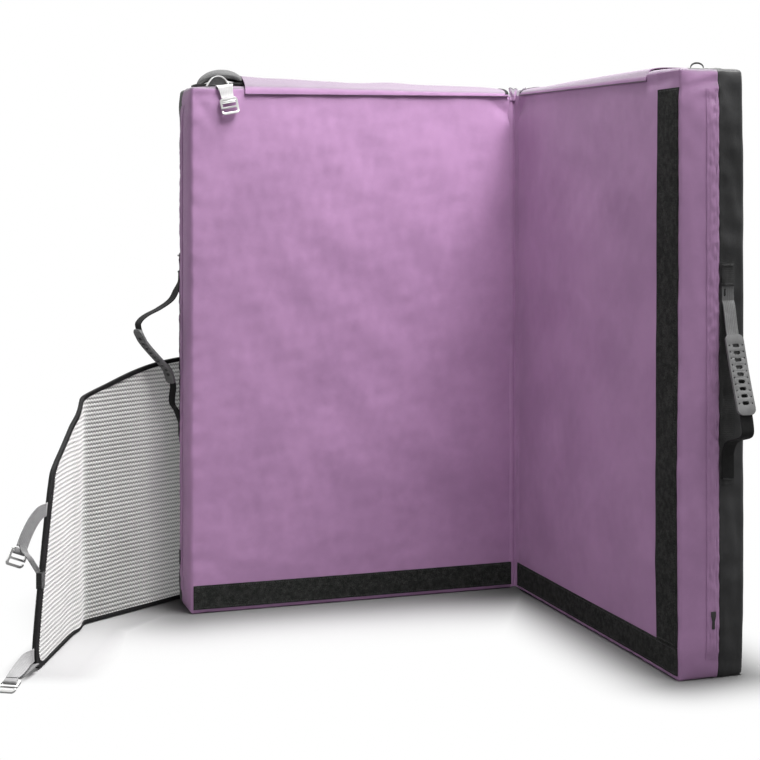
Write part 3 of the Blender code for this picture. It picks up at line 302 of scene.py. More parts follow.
# %% The shader class
class Wire:
    """A socket of a node tree. Sums and products of wires add Math nodes."""

    def __init__(self, tree, socket):
        self.tree, self.socket = tree, socket

    def node(self, kind, inputs, output=0, **settings):
        """Any node: its settings, then the values or links of its sockets."""
        made = self.tree.nodes.new(kind)
        for name, value in settings.items():
            setattr(made, name, value)
        for key, value in inputs.items():
            if isinstance(value, Wire):
                self.tree.links.new(value.socket, made.inputs[key])
            else:
                made.inputs[key].default_value = value
        return Wire(self.tree, made.outputs[output])

    def math(self, operation, first, second=0.0):
        return self.node("ShaderNodeMath", {0: first, 1: second}, operation=operation)

    def __add__(self, other):
        return self.math("ADD", self, other)

    def __sub__(self, other):
        return self.math("SUBTRACT", self, other)

    def __rsub__(self, other):
        return self.math("SUBTRACT", other, self)

    def __mul__(self, other):
        return self.math("MULTIPLY", self, other)

    def __truediv__(self, other):
        return self.math("DIVIDE", self, other)

    def __pow__(self, other):
        return self.math("POWER", self, other)

    __radd__, __rmul__ = __add__, __mul__

    def sine(self):
        return self.math("SINE", self)

    def size(self):
        return self.math("ABSOLUTE", self)

    def zigzag(self, pitch):
        """A triangle wave between 0 and 1."""
        return self.math("PINGPONG", self / (pitch / 2), 1.0)

    def step(self, low, high, start=0.0, end=1.0):
        """A smooth step from start to end while the value goes from low to high."""
        return self.node("ShaderNodeMapRange", {0: self, 1: low, 2: high, 3: start, 4: end},
                         interpolation_type="SMOOTHSTEP")

    def noise(self, scale, detail=2.0, roughness=0.5, stretch=(1.0, 1.0, 1.0)):
        """Blender's noise at a place, between 0 and 1."""
        place = self
        if stretch != (1.0, 1.0, 1.0):
            place = self.node("ShaderNodeVectorMath", {0: self, 1: stretch},
                              operation="MULTIPLY")
        return self.node("ShaderNodeTexNoise", {
            "Vector": place, "Scale": scale, "Detail": detail, "Roughness": roughness,
        })

    def mix(self, dark, light):
        """A colour between two, by this wire's value."""
        return self.node("ShaderNodeMix", {0: self, 6: dark, 7: light}, output=2,
                         data_type="RGBA")

    def part(self, name):
        """One coordinate of a place."""
        return self.node("ShaderNodeSeparateXYZ", {0: self}, output="XYZ".index(name))


def new_finish(name, **constants):
    """A Principled material with its constant sockets set, and its two kinds of place: on
    the cloth (UV) and in the room (Object)."""
    made = bpy.data.materials.new(name)
    made.use_nodes = True
    tree = made.node_tree
    for key, value in constants.items():
        socket = key.replace("_", " ").title().replace("Ior", "IOR")
        tree.nodes["Principled BSDF"].inputs[socket].default_value = value
    place = tree.nodes.new("ShaderNodeTexCoord").outputs
    return made, Wire(tree, place["UV"]), Wire(tree, place["Object"])


def join(made, colour, roughness, height):
    """Link colour, roughness and a height in millimetres to the Principled surface."""
    tree = made.node_tree
    bump = height.node("ShaderNodeBump", {"Height": height, "Distance": 0.001, "Strength": 1.0})
    for name, wire in (("Base Color", colour), ("Roughness", roughness), ("Normal", bump)):
        tree.links.new(wire.socket, tree.nodes["Principled BSDF"].inputs[name])
    return made


def grey(value):
    """A neutral colour."""
    return (value, value, value, 1)


# %% [markdown]
# ## Nylon cloth
#
# The covers are coated nylon in a plain weave, with broad, soft patches in the purple, a
# touch redder or bluer. Two noises mix the patches, a product of two sines gives the weave,
# and sheen lights the fibres at the edges. Cloth that faces up gets far more light, so
# painted shade turns its paint darker and greyer with the upward part of the normal.

# %% Purple and black cloth
thread_pitch = 0.0011


def nylon(name, dark, light, top, roughness=0.62, crumple=0.4):
    """Plain weave: the height is the product of two sines, one along each thread. Where the
    cloth faces up its paint is darker and greyer, painted shade for the far stronger light."""
    made, cloth, room = new_finish(name, sheen_weight=0.12, sheen_roughness=0.45,
                                   specular_ior_level=0.35)
    turn = 2 * math.pi / thread_pitch
    weave = (cloth.part("X") * turn).sine() * (cloth.part("Y") * turn).sine()
    broad, fine, soft = room.noise(7, 3, 0.55), room.noise(55, 3, 0.6), room.noise(26, 4, 0.6)
    tone = (broad * 0.75 + fine * 0.25).step(0.34, 0.66)
    painted_top_shade = room.node("ShaderNodeNewGeometry", {}, output=1).part("Z").step(0.03, 0.6)
    return join(made, painted_top_shade.mix((tone + weave * 0.05).mix(dark, light), top),
                fine * 0.2 + (roughness - 0.1), weave * 0.05 + soft * crumple)


# The third colour of each cloth is painted shade, used where the cloth faces up.
purple_cloth = nylon("purple_nylon", (0.42, 0.232, 0.42, 1), (0.494, 0.275, 0.49, 1),
                     (0.158, 0.121, 0.161, 1))
# The corner gather's cloth is a darker purple: painted shade for its pleats and pinch.
shaded_gather_cloth = nylon("shaded_gather_cloth", (0.24, 0.13, 0.24, 1), (0.36, 0.2, 0.36, 1),
                      (0.13, 0.11, 0.135, 1))
black_cloth = nylon("black_nylon", (0.01, 0.01, 0.0105, 1), (0.034, 0.034, 0.035, 1),
                    grey(0.012), 0.6, 1.0)
print("cloth:", purple_cloth.name, black_cloth.name)

# %% [markdown]
# ## Webbing, tape and thread
#
# Webbing shows ribs across the strap and a few cords along it. Hook tape is a field of tiny
# stiff hooks that swallow light, so it is almost black, rough and speckled.

# %% Webbing, hook tape, thread and binding
def webbing(name, dark, light, rib=0.0016, cords=0.003):
    """Ribs across and cords along: a sine and a triangle wave, the ribs stronger."""
    made, cloth, room = new_finish(name, sheen_weight=0.15, specular_ior_level=0.3)
    row = cloth.part("Y").zigzag(cords)
    ribs = ((cloth.part("X") + row * (rib / 2)) * (2 * math.pi / rib)).sine()
    tone = ribs * 0.22 + row * 0.3 + room.noise(140, 2) * 0.5
    return join(made, tone.step(0.1, 0.8).mix(dark, light), room.noise(90) * 0.15 + 0.63,
                ribs * 0.12 + row * 0.15)


grey_webbing = webbing("grey_webbing", grey(0.13), grey(0.26))
light_webbing = webbing("light_grey_webbing", grey(0.27), grey(0.42))
pale_webbing = webbing("pale_webbing", (0.7, 0.7, 0.69, 1), (0.86, 0.86, 0.85, 1))
black_webbing = webbing("black_webbing", grey(0.012), grey(0.032))
handle_webbing = webbing("charcoal_webbing", grey(0.045), grey(0.11), 0.0026, 0.0042)

hook_tape, _, room = new_finish("hook_tape", specular_ior_level=0.15)
specks = room.noise(900, 2, 0.7)
join(hook_tape, (specks * 0.7 + room.noise(120) * 0.3).step(0.4, 0.68).mix(
    (0.01, 0.011, 0.01, 1), (0.058, 0.06, 0.056, 1)), specks * 0.1 + 0.88, specks * 0.5)

binding_tape, cloth, room = new_finish("black_binding", specular_ior_level=0.2)
weft = (cloth.part("X") * (2 * math.pi / 0.0012)).sine()
join(binding_tape, (weft * 0.2 + room.noise(160) * 0.8).step(0.2, 0.8).mix(
    grey(0.006), grey(0.017)), room.noise(80) * 0.2 + 0.62, weft * 0.06)


def thread(name, dark, light):
    """Twisted thread: a fine noise in colour, gloss and height."""
    made, _, room = new_finish(name, sheen_weight=0.2)
    twist = room.noise(1400, 1)
    return join(made, twist.mix(dark, light), twist * 0.2 + 0.55, twist * 0.05)


purple_thread = thread("purple_thread", (0.42, 0.24, 0.43, 1), (0.6, 0.38, 0.6, 1))
# A dark purple line along the foot of each gear flap: painted shadow at its seam.
seam_thread = thread("seam_thread", (0.05, 0.022, 0.048, 1), (0.09, 0.045, 0.088, 1))
pale_thread = thread("pale_thread", (0.62, 0.5, 0.62, 1), (0.8, 0.7, 0.8, 1))
grey_thread = thread("grey_thread", grey(0.2), grey(0.4))
black_thread = thread("black_thread", grey(0.01), grey(0.03))
print("webbing, tape and thread are ready")

# %% [markdown]
# ## Spacer mesh
#
# The cover flap is a knitted spacer mesh. Its face shows level zigzag bars, light and dark
# in turn. The zigzag moves the bars up and down by a triangle wave along the cloth, and a
# product of sines cuts the small holes. Painted shade darkens the inner panel before the
# crease, and the bars beyond it are paler, painted light for the lit outer panel. Near the
# pad a faint glow, painted light, stands for a little light through the holes and lifts the
# shade there.

# %% Spacer mesh
bar_pitch, zigzag_pitch, zigzag_rise, hole_pitch = 0.0071, 0.006, 0.0021, 0.0018
spacer_mesh, cloth, room = new_finish("spacer_mesh", sheen_weight=0.2, specular_ior_level=0.25)
along, up = cloth.part("X"), cloth.part("Y")
bar = ((up + along.zigzag(zigzag_pitch) * zigzag_rise) * (2 * math.pi / bar_pitch)).sine()
holes = (along * (2 * math.pi / hole_pitch)).sine() * (up * (2 * math.pi / hole_pitch)).sine()
# The bars are fainter beyond the crease: painted light on the brightly lit outer panel.
shade = (0.0 - bar).step(-0.35, 0.75) * along.step(0.206, 0.24, 0.62, 0.42) + holes * 0.07
# Painted shade: the inner panel is darker between the hem and the crease.
shade = shade + along.step(0.03, 0.15) * along.step(0.2, 0.236, 0.24, 0.0)
join(spacer_mesh, shade.mix((0.8, 0.8, 0.775, 1), (0.13, 0.13, 0.125, 1)),
     room.noise(200) * 0.1 + 0.8, bar * 0.35 + holes * 0.1)
# Painted light: a faint glow near the pad lifts the shade there.
glow = (along.step(0.02, 0.15, 0.16, 0.0) * (1.0 - shade)).mix(grey(0), grey(1))
surface = spacer_mesh.node_tree.nodes["Principled BSDF"].inputs
spacer_mesh.node_tree.links.new(glow.socket, surface["Emission Color"])
surface["Emission Strength"].default_value = 1.0
print("bars every", bar_pitch, "m")

# %% [markdown]
# ## Metal and plastic
#
# The hook buckles are bent from aluminium plate and tumbled, which leaves a soft shine with
# fine scratches. The grips are a grey rubbery plastic, and the small locks are black nylon.

# %% Metal and plastic
tumbled_metal, _, room = new_finish("tumbled_aluminium", metallic=1.0)
scratches = room.noise(420, 4, 0.7, (1.0, 1.0, 6.0))
join(tumbled_metal, scratches.mix((0.58, 0.58, 0.57, 1), (0.82, 0.82, 0.81, 1)),
     scratches * 0.25 + 0.2, scratches * 0.02)


def plastic(name, dark, light, roughness, grain):
    """Moulded plastic: a fine spark-eroded grain and slightly uneven gloss."""
    made, _, room = new_finish(name)
    spark = room.noise(900, 2, 0.6)
    return join(made, room.noise(40, 3).step(0.3, 0.7).mix(dark, light),
                spark * 0.15 + (roughness - 0.07), spark * grain)


black_plastic = plastic("black_plastic", grey(0.018), grey(0.032), 0.42, 0.03)
grip_rubber = plastic("grip_rubber", grey(0.135), grey(0.19), 0.6, 0.06)
print("metal and plastic are ready")

# %% [markdown]
# ## The sewn covers
#
# Each half is a foam block in a cover of two colours: purple over the landing face and the
# front of the walls, black over the back. A box's walls are cut into small squares. Each
# point is pulled to a box with round edges, then swollen, then moved along its normal by a
# height map of ripples and dents.

# %% A rounded, swollen, wrinkled box
top_panel_depth = 0.016
front_radius, back_radius = 0.0045, 0.0065
cloth_thickness = 0.0012


def lines(length, start, end, step, extra=()):
    """Places of the cuts along one side, closer together where the edge is round."""
    fine = 1 - np.tan(np.radians([45, 34, 23, 11.5, 0]))
    inner = np.linspace(start, length - end, max(2, round((length - start - end) / step) + 1))
    return np.unique(np.round(np.concatenate(
        [start * fine, inner, length - end * fine, list(extra)]), 6))


def rounded(points):
    """Pull box points to a box with round edges: the nearest point of a smaller box, plus
    the radius along the direction away from it. Returns places and normals."""
    size = np.array([half_width, half_depth, half_height])
    share = (points[..., 1] / half_depth)[..., None]
    radius = front_radius + (back_radius - front_radius) * share
    low = np.concatenate([radius, np.full_like(radius, front_radius), radius], -1)
    high = np.concatenate([radius, np.full_like(radius, back_radius), radius], -1)
    near = np.minimum(np.maximum(points, low), size - high)
    away = points - near
    side = np.where(away < 0, low, high)
    normal = unit(away / side)
    return near + normal * side, normal


def bumps(u, v, dents):
    """Soft dents: each a bell curve with its own place, two sizes, turn and depth."""
    total = np.zeros_like(u)
    for x, y, long, short, turn, depth in dents:
        c, s = math.cos(math.radians(turn)), math.sin(math.radians(turn))
        a, b = (u - x) * c + (v - y) * s, (v - y) * c - (u - x) * s
        total += depth * np.exp(-(a / long) ** 2 - (b / short) ** 2)
    return total


face_dents = {
    "a": [(0.574, 0.9, 0.03, 0.004, -2, -0.0022), (0.585, 0.88, 0.03, 0.008, 60, -0.0016),
          (0.02, 0.885, 0.03, 0.01, 35, -0.003), (0.3, 0.64, 0.22, 0.12, 15, 0.0012),
          (0.12, 0.3, 0.18, 0.05, -25, -0.0008), (0.45, 0.42, 0.16, 0.06, 40, -0.0008)],
    "b": [(0.56, 0.9, 0.05, 0.006, 4, -0.0022), (0.594, 0.889, 0.012, 0.01, 0, -0.002),
          (0.018, 0.89, 0.03, 0.01, 35, -0.003), (0.26, 0.6, 0.18, 0.15, -20, 0.0012),
          (0.4, 0.33, 0.16, 0.05, 30, -0.0008), (0.6, 0.24, 0.26, 0.09, 90, 0.0036)],
}
end_dents = {
    "a": [(0.03, 0.88, 0.03, 0.006, 12, -0.0018), (0.085, 0.7, 0.03, 0.12, 0, 0.0012)],
    "b": [(0.046, 0.893, 0.03, 0.005, 14, -0.0026), (0.05, 0.868, 0.018, 0.007, -10, -0.0014),
          (0.028, 0.7, 0.01, 0.09, 6, -0.0009), (0.036, 0.33, 0.009, 0.11, -5, -0.0009),
          (0.09, 0.76, 0.012, 0.06, 20, -0.0016), (0.088, 0.56, 0.012, 0.09, -12, -0.0014),
          (0.09, 0.25, 0.014, 0.08, 10, -0.0016), (0.06, 0.03, 0.03, 0.006, -10, -0.0016)],
}


def wrinkles(side, points):
    """Height of the cloth's unevenness: long ripples, short ones that grow at seams, dents."""
    w, t, z = np.moveaxis(points, -1, 0)
    seed = 11 if side == "a" else 47
    round_walk = w + np.where(w > half_width / 2, t, -t)
    to_edge = np.minimum.reduce([w, half_width - w, z, half_height - z])
    front = np.clip(1 - t / 0.01, 0, 1)
    back = np.clip(1 - (half_depth - t) / 0.012, 0, 1)
    wall = 1 - np.maximum(front, back)
    calm = np.clip((z - 0.052) / 0.03, 0.15, 1)
    height = 0.0005 * ripple(round_walk * 1.5, z, seed, 0.1, 0.26) * (0.4 + 0.6 * front) * calm
    height += 0.00018 * ripple(round_walk * 1.6, z, seed + 1, 0.028, 0.06) * calm
    seam = np.exp(-np.abs(t - landing_depth) / 0.01) * wall
    pucker = ripple(z + w, t * 2.2, seed + 2, 0.01, 0.026)
    height += 0.0007 * pucker * seam
    rim = np.exp(-np.maximum(to_edge, 0) / 0.012) * front
    height += 0.00045 * ripple(w, z, seed + 3, 0.018, 0.045) * rim
    height += 0.0011 * ripple(round_walk * 0.7, z, seed + 4, 0.03, 0.1) * back * \
        np.clip(to_edge / 0.03, 0.1, 1)
    height += 0.001 * ripple(t * 1.3, z + w, seed + 5, 0.035, 0.09) * wall * \
        (t > landing_depth + 0.004)
    upright = np.maximum(0, 1 - (2 * z / half_height - 1) ** 6)
    if side == "b":
        height += 0.0028 * back * np.exp(-((half_width - w) / 0.06) ** 2) * upright
    height += bumps(w, z, face_dents[side]) * front
    far = np.clip((w - half_width + 0.02) / 0.015, 0, 1)
    height += bumps(t, z, end_dents[side]) * far * wall
    if side == "a":
        height -= 0.0048 * far * np.clip((t - landing_depth - 0.001) / 0.008, 0, 1) * upright
    return height


def on_cloth(side, w, t, z, out):
    """Where the cloth's outer face lies for points of the plain box, and out from it."""
    points = np.stack(np.broadcast_arrays(*(np.asarray(k, float) for k in (w, t, z))), -1)
    place, normal = rounded(points)
    lift = wrinkles(side, points)[..., None] + np.asarray(out)[..., None]
    place = swell(place) + normal * lift
    place[..., 2] = np.maximum(place[..., 2], 0.0)
    return in_room(side, place)


print("cover formulas are ready")

# %% Both covers of both halves
def cover(name, side, keep, finish, *nodes):
    """One cover: the squares of the box's six walls that keep chooses, welded into a sheet."""
    cuts = [lines(half_width, front_radius, front_radius, 0.0062),
            lines(half_depth, front_radius, back_radius, 0.0045,
                  (landing_depth, top_panel_depth)),
            lines(half_height, front_radius, front_radius, 0.0062)]
    size = (half_width, half_depth, half_height)
    found, maps = [], []
    for axis, end in ((0, 0), (0, 1), (1, 0), (1, 1), (2, 0), (2, 1)):
        u, v = (k for k in range(3) if k != axis)
        grid = np.empty((len(cuts[u]), len(cuts[v]), 3))
        grid[..., u], grid[..., v] = np.meshgrid(cuts[u], cuts[v], indexing="ij")
        grid[..., axis] = size[axis] * end
        corner = grid.reshape(-1, 3)[quads(numbered(grid))]
        if (axis == 1) == bool(end):
            corner = corner[:, ::-1]
        corner = corner[keep(axis, end, corner.mean(1)[:, 1])]
        flat = corner[..., [0, 2]]
        if axis != 1:
            flat[..., axis // 2] = size[axis] * end + (2 * end - 1) * corner[..., 1]
        found.append(corner)
        maps.append(flat)
    corner, flat = np.concatenate(found), np.concatenate(maps)
    keys, numbers = np.unique(np.round(corner.reshape(-1, 3) * 1e6).astype(np.int64), axis=0,
                              return_inverse=True)
    faces = numbers.reshape(-1, 4)
    if side == "a":
        faces, flat = faces[:, ::-1], flat[:, ::-1]
    piece = add_piece(name, on_cloth(side, *(keys / 1e6).T, 0.0), faces.tolist(), finish,
                      corner_uv=flat.reshape(-1, 2), crisp=80)
    wall = piece.modifiers.new("cloth", "SOLIDIFY")
    wall.thickness, wall.offset = cloth_thickness, -1
    ride(piece, f"half_{side}", finish.name.replace("nylon", "cloth"), *nodes)
    print(name, len(faces), "squares")


def is_front(axis, end, t):
    """Which squares are purple: the landing face, and the walls' front part."""
    limit = top_panel_depth if (axis, end) == (2, 1) else landing_depth
    return t < limit if axis != 1 else np.full(t.shape, end == 0)


for side in "ab":
    cover(f"landing_cloth_{side}", side, is_front, purple_cloth, f"landing_cover_{side}",
          f"closed_cell_foam_{side}")
    cover(f"base_cloth_{side}", side, lambda *wall: ~is_front(*wall), black_cloth,
          f"base_cover_{side}", f"open_cell_foam_{side}")

# %% [markdown]
# ## The fold's cloth
#
# A band of the landing cloth joins the halves, so a foot never falls between them. It runs
# from half A's face, in a groove past the fold's axis, to half B's face. It crosses the
# moving fold as one sheet.

# %% The band over the fold
over_fold = ("half_a", "half_b", (0.303, -0.0545, 0.4), (0.309, -0.059, 0.4))
plan = curve([(0.2915, -0.0505), (0.2968, -0.0546), (0.3008, -0.0551), (0.3036, -0.0543),
              (0.3056, -0.0536), (0.307, -0.0568), (0.3076, -0.061), (0.308, -0.0655),
              (0.3125, -0.0705)], 3)
z = np.linspace(0.003, half_height - 0.004, 120)[:, None]
wave = 0.0003 * ripple(0 * z, z, 5, 0.02, 0.06)
grid = np.empty((len(z), len(plan), 3))
grid[..., :2] = plan[None] + wave[..., None] * np.array([-0.7, 0.7])
grid[..., 2] = z
band = ride(shell("fold_band", grid, 0.0006, purple_cloth), over_fold, "purple_cloth",
            "fold_seam_a", "fold_seam_b")
float(run(plan)[-1])
print("band", round(float(run(plan)[-1]), 4), "m wide")

# %% [markdown]
# ## Hook strips
#
# Black hook tape is sewn along the bottom of both landing faces and up half B's free edge.
# A strip follows the swollen face, so its grid is drawn in the half's own directions and laid
# on the cover's surface. A row of stitches runs round it, just inside its edge.

# %% Hook strips
strip_low, strip_high, inset = 0.0072, 0.0485, 0.003
facing = {"a": 1, "b": -1}
face_out, end_out = {"a": (0, -1, 0), "b": (-1, 0, 0)}, {"a": (-1, 0, 0), "b": (0, -1, 0)}


def spaced(low, high, step, least=2):
    """Even places from low to high, about a step apart."""
    return np.linspace(low, high, max(least, int((high - low) / step)))


for name, side, low, high in (
    ("bottom_a", "a", (0.004, strip_low), (0.6, strip_high)),
    ("bottom_b", "b", (0.004, strip_low), (0.601, strip_high)),
    ("side_b", "b", (0.541, strip_high + 0.0008), (0.601, 0.885)),
):
    w, z = spaced(low[0], high[0], 0.008)[:, None], spaced(low[1], high[1], 0.006)
    grid = on_cloth(side, w, 0, z, 0.0009)[::facing[side]]
    label = "hook_tape_" + name.replace("bottom_", "")
    ride(shell(label, grid, 0.0022, hook_tape), f"half_{side}", "hook_tape",
         "hook_strip_" + name)
    (w0, z0), (w1, z1) = np.add(low, inset), np.subtract(high, inset)
    corners = [(w0, z0), (w1, z0), (w1, z1), (w0, z1), (w0, z0)]
    loop = np.concatenate([np.linspace(a, b, 60)[:-1] for a, b in zip(corners, corners[1:])])
    stitches(label + "_stitches", on_cloth(side, loop[:, 0], 0, loop[:, 1], 0.0021),
             face_out[side], black_thread, f"half_{side}", "hook_tape")
print("hook tape", round(strip_high - strip_low, 4), "m wide")

# %% [markdown]
# ## Gear flaps
#
# A double purple flap is sewn just under each landing edge and lies back over the top. Its
# profile rises, leans back to a soft crest and lies down. The height of seam and crest
# changes a little from one end to the other.

# %% Gear flaps
flap_profile = np.array([
    (0.0, -0.05), (0.0, 0.12), (0.006, 0.3), (0.035, 0.5), (0.115, 0.72), (0.235, 0.9),
    (0.36, 1.0), (0.52, 0.96), (0.7, 0.81), (0.86, 0.64), (0.98, 0.54),
])
flap_reach, flap_rise, flap_stand = 0.098, 0.028, 0.0018
flap_ends = {"a": (0.01, 0.5085), "b": (0.015, 0.503)}
flap_seams = {"a": (0.9105, 0.9045), "b": (0.9115, 0.9024)}
flap_crests = {"a": (0.9258, 0.9355), "b": (0.9252, 0.9212)}


def gear_flap(side, near, far):
    """The flap: w along the edge, and a profile of shares of its reach and rise. Its sag
    grows with the distance from the seam, and it never sinks into the cover."""
    profile = even(curve(flap_profile * (flap_reach, flap_rise), 6), 44)
    along = np.linspace(near, far, 110)[:, None]
    seam, crest = (np.interp(along, (near, far), pair[side]) for pair in (flap_seams, flap_crests))
    w, t, z = (k.copy() for k in np.broadcast_arrays(
        along, profile[:, 0] - flap_stand, seam + (crest - seam) * profile[:, 1] / flap_rise))
    loose = np.clip(run(profile) / 0.05, 0, 1)
    seed = 3 if side == "a" else 8
    z += loose * 0.0012 * ripple(w, t, seed, 0.08, 0.2)
    t += loose * 0.0008 * ripple(w, z, seed + 1, 0.05, 0.15)
    top = swell(np.stack([w, np.clip(t, 0, half_depth), np.full(w.shape, half_height)], -1))
    on_top = np.clip(t / 0.006, 0, 1)
    above = np.maximum(z, (top[..., 2] + 0.0026) * on_top + z * (1 - on_top))
    return in_room(side, np.stack([w, t, np.where(t > 0, above, z)], -1))


def trim(name, edge, inward, out, width, thickness, finish, body, slot):
    """Binding tape folded over a cloth edge: a flat ring from one side of the cloth, round
    the edge, to the other side."""
    inward, out = unit(inward), unit(out)
    half = thickness / 2
    section = [(width, half), (0.2 * width, half), (0, half * 0.6), (0, -half * 0.6),
               (0.2 * width, -half), (width, -half)]
    rings = np.stack([edge + inward * (a - half * 0.5) + out * b for a, b in section], 1)
    return ride(ring_sweep(name, rings, finish), body, slot)


for side in "ab":
    near, far = flap_ends[side]
    grid = gear_flap(side, near, far)[::facing[side]]
    normal, body = grid_normals(grid), f"gear_flap_{side}"
    flap = ride(shell(f"gear_flap_cloth_{side}", grid, 0.0013, purple_cloth), body,
                "purple_cloth", body)
    tape = 0.006, 0.0028, binding_tape, body, "black_cloth"
    label, end, inner = ("first", 0, 3) if side == "a" else ("last", -1, -4)
    walked = run(grid[0])
    row = int(np.searchsorted(walked, 0.0055))
    pieces = [
        trim(f"gear_flap_{side}_binding_{label}", grid[end, 3:], (grid[inner] - grid[end])[3:],
             normal[end, 3:], *tape),
        trim(f"gear_flap_{side}_binding_rear", grid[:, -1], grid[:, -4] - grid[:, -1],
             normal[:, -1], *tape),
        # The seam trim is a dark line of painted shadow under the flap.
        trim(f"gear_flap_{side}_seam", grid[:, 0], grid[:, 3] - grid[:, 0], normal[:, 0],
             0.0016, 0.0026, seam_thread, body, "purple_cloth"),
        stitches(f"gear_flap_{side}_topstitch", grid[:, row] + normal[:, row] * 0.0008,
                 normal[:, row], pale_thread, body, "purple_cloth", 0.004, 0.003, 0.0008),
    ]
print("gear flaps reach", flap_crests, "m above the floor")

# %% [markdown]
# Between the two flaps the cloth is gathered into the corner. The gather is a small sheet
# from one half's face to the other's, with pleats that are deepest where the seam pinches it.

# %% The gather at the corner
gather_low = 0.9015
plan = curve([(0.2925, -0.0562), (0.2975, -0.0572), (0.3025, -0.0568), (0.3052, -0.0548),
              (0.3066, -0.059), (0.3064, -0.066), (0.3062, -0.0765)], 8)
walk = (run(plan) / run(plan)[-1])[:, None]
rise = np.linspace(0, 1, 19)[None]
top = np.interp(walk, [0, 0.2, 0.4, 0.55, 0.75, 1], [0.9245, 0.924, 0.9225, 0.92, 0.9225,
                                                     0.924])
back = unit(np.stack([0.15 + walk, 1.1 - walk], -1))
out = unit(np.stack([-np.gradient(plan[:, 1]), np.gradient(plan[:, 0])], -1))[:, None]
pinch = np.exp(-((rise - 0.52) / 0.22) ** 2)
pleat = 0.0027 * np.sin(walk * 21 + rise * 2.2) * (0.35 + 0.65 * pinch)
grid = np.empty((*pleat.shape, 3))
grid[..., :2] = plan[:, None] + back * (0.01 * rise**2.2)[..., None] + out * pleat[..., None]
grid[..., 2] = gather_low + (top - gather_low) * rise + 0.0012 * np.sin(walk * 26) * rise
grid += (0.0032, 0, 0.001)
# The gather uses the darker purple, painted shade in its pleats.
ride(shell("corner_gather", grid, 0.001, shaded_gather_cloth), over_fold, "purple_cloth")
edge = grid[2:22, -1]
trim("corner_gather_binding", edge, edge - grid[2:22, -3] + (0, 0, -0.004),
     grid_normals(grid)[2:22, -1], 0.003, 0.0022, binding_tape, over_fold, "black_cloth")
print("corner gather of", grid.shape[:2], "points")

# %% [markdown]
# ## The mesh cover flap
#
# The flap hangs from the back of half A, runs forward past its end wall and bends at a soft
# crease. It bends only about upright lines, so it is drawn flat, as a pattern cutter would,
# with s along the floor and z up. One function then bends any flat point into place.

# %% From the flat pattern to the bent flap
def heading(turn):
    """The level direction at an angle."""
    return np.array([math.cos(turn), math.sin(turn)])


hem_length, inner_length, outer_length = 0.028, 0.192, 0.279
crease_at = hem_length + inner_length
inner_turn, outer_turn = math.radians(213), math.radians(247)
flap_root = np.array([-half_width / 2 - 0.003, half_depth / 2 + 0.003])
flap_low, flap_start = 0.002, -0.019
crease = flap_root + crease_at * heading(inner_turn)
tip = crease + outer_length * heading(outer_turn)

# The flap seen from above: a direction for each distance along it, added up. It lies along
# the pad's back first, turns at the pad's edge, and again at the crease by a smooth step.
# Then it swings a little beyond the crease, and drifts to where its tip has to be.
plan_s = np.linspace(-0.022, crease_at + outer_length + 0.01, 1240)
share = np.clip((plan_s - crease_at + 0.011) / 0.022, 0, 1)
turn = inner_turn + (outer_turn - inner_turn) * share**2 * (3 - 2 * share)
after = np.clip((plan_s - crease_at) / 0.075, 0, 1)
turn = turn + math.radians(7) * np.sin(2 * np.pi * after) * (after < 1)
turn = turn - (inner_turn - math.pi) * np.clip(-plan_s / 0.008, 0, 1)
steps = np.stack([np.cos(turn), np.sin(turn)], -1)[:-1] * np.diff(plan_s)[:, None]
plan = np.concatenate([[[0, 0]], np.cumsum(steps, 0)])
plan += flap_root - at_places(0, plan_s, plan)
drift = tip - at_places(crease_at + outer_length, plan_s, plan)
plan += drift * np.clip((plan_s - crease_at + 0.02) / 0.3, 0, 1)[:, None]
flap_plan, flap_way = plan, unit(np.gradient(plan, axis=0))


def bend_flap(flat, out=0.0):
    """A flat point (s, z) on the bent flap, moved out along the flap's normal."""
    s, z = flat[..., 0], flat[..., 1]
    place, way = at_places(s, plan_s, flap_plan), at_places(s, plan_s, flap_way)
    return np.stack([place[..., 0] + way[..., 1] * out, place[..., 1] - way[..., 0] * out,
                     z + 0 * s], -1)


flap_top = curve([(-0.02, 0.4345), (0.0022, 0.434), (0.055, 0.4291), (0.11, 0.4183),
                  (0.165, 0.4026), (0.2198, 0.386), (0.25, 0.3695), (0.28, 0.3522),
                  (0.34, 0.3215), (0.384, 0.3005), (0.404, 0.2885), (0.4155, 0.27),
                  (0.4255, 0.248), (0.442, 0.206), (0.466, 0.142), (0.483, 0.093),
                  (0.496, 0.048), (0.4985, 0.028), (0.494, 0.012), (0.48, 0.0035),
                  (0.464, flap_low)], 10)
top_corner, low_corner = 100, 188
print("crease at", crease_at, "m, flap ends at", crease_at + outer_length, "m")

# %% [markdown]
# The mesh is one grid per moving part. The outline beyond the crease has four curved sides,
# and a Coons patch fills it: the two blends between opposite sides, less the blend of the
# four corners. The grid runs a little under the binding.

# %% The mesh sheets
mesh_thickness, columns = 0.004, 110
meet_at = hem_length + inner_length / 2


def patch(low, high, start, end):
    """A Coons patch between four curves: low and high along u, start and end along v."""
    u = np.linspace(0, 1, len(low))[:, None, None]
    v = np.linspace(0, 1, len(start))[None, :, None]
    sides = (1 - v) * low[:, None] + v * high[:, None] + (1 - u) * start[None] + u * end[None]
    corners = (1 - u) * (1 - v) * low[0] + (1 - u) * v * high[0] + u * (1 - v) * low[-1] \
        + u * v * high[-1]
    return sides - corners


def straight(start, end, count):
    """A straight line of points."""
    share = np.linspace(0, 1, count)[:, None]
    return np.asarray(start) * (1 - share) + np.asarray(end) * share


def panel(start, end, count):
    """The flat mesh between two distances along the flap, its lower and its upper edge."""
    s = np.linspace(start, end, count)
    top = np.stack([s, np.interp(s, *flap_top[:top_corner].T)], -1)
    low = straight((start, flap_low), (end, flap_low), count)
    return patch(low, top, straight((start, flap_low), top[0], columns),
                 straight((end, flap_low), top[-1], columns)), low, top


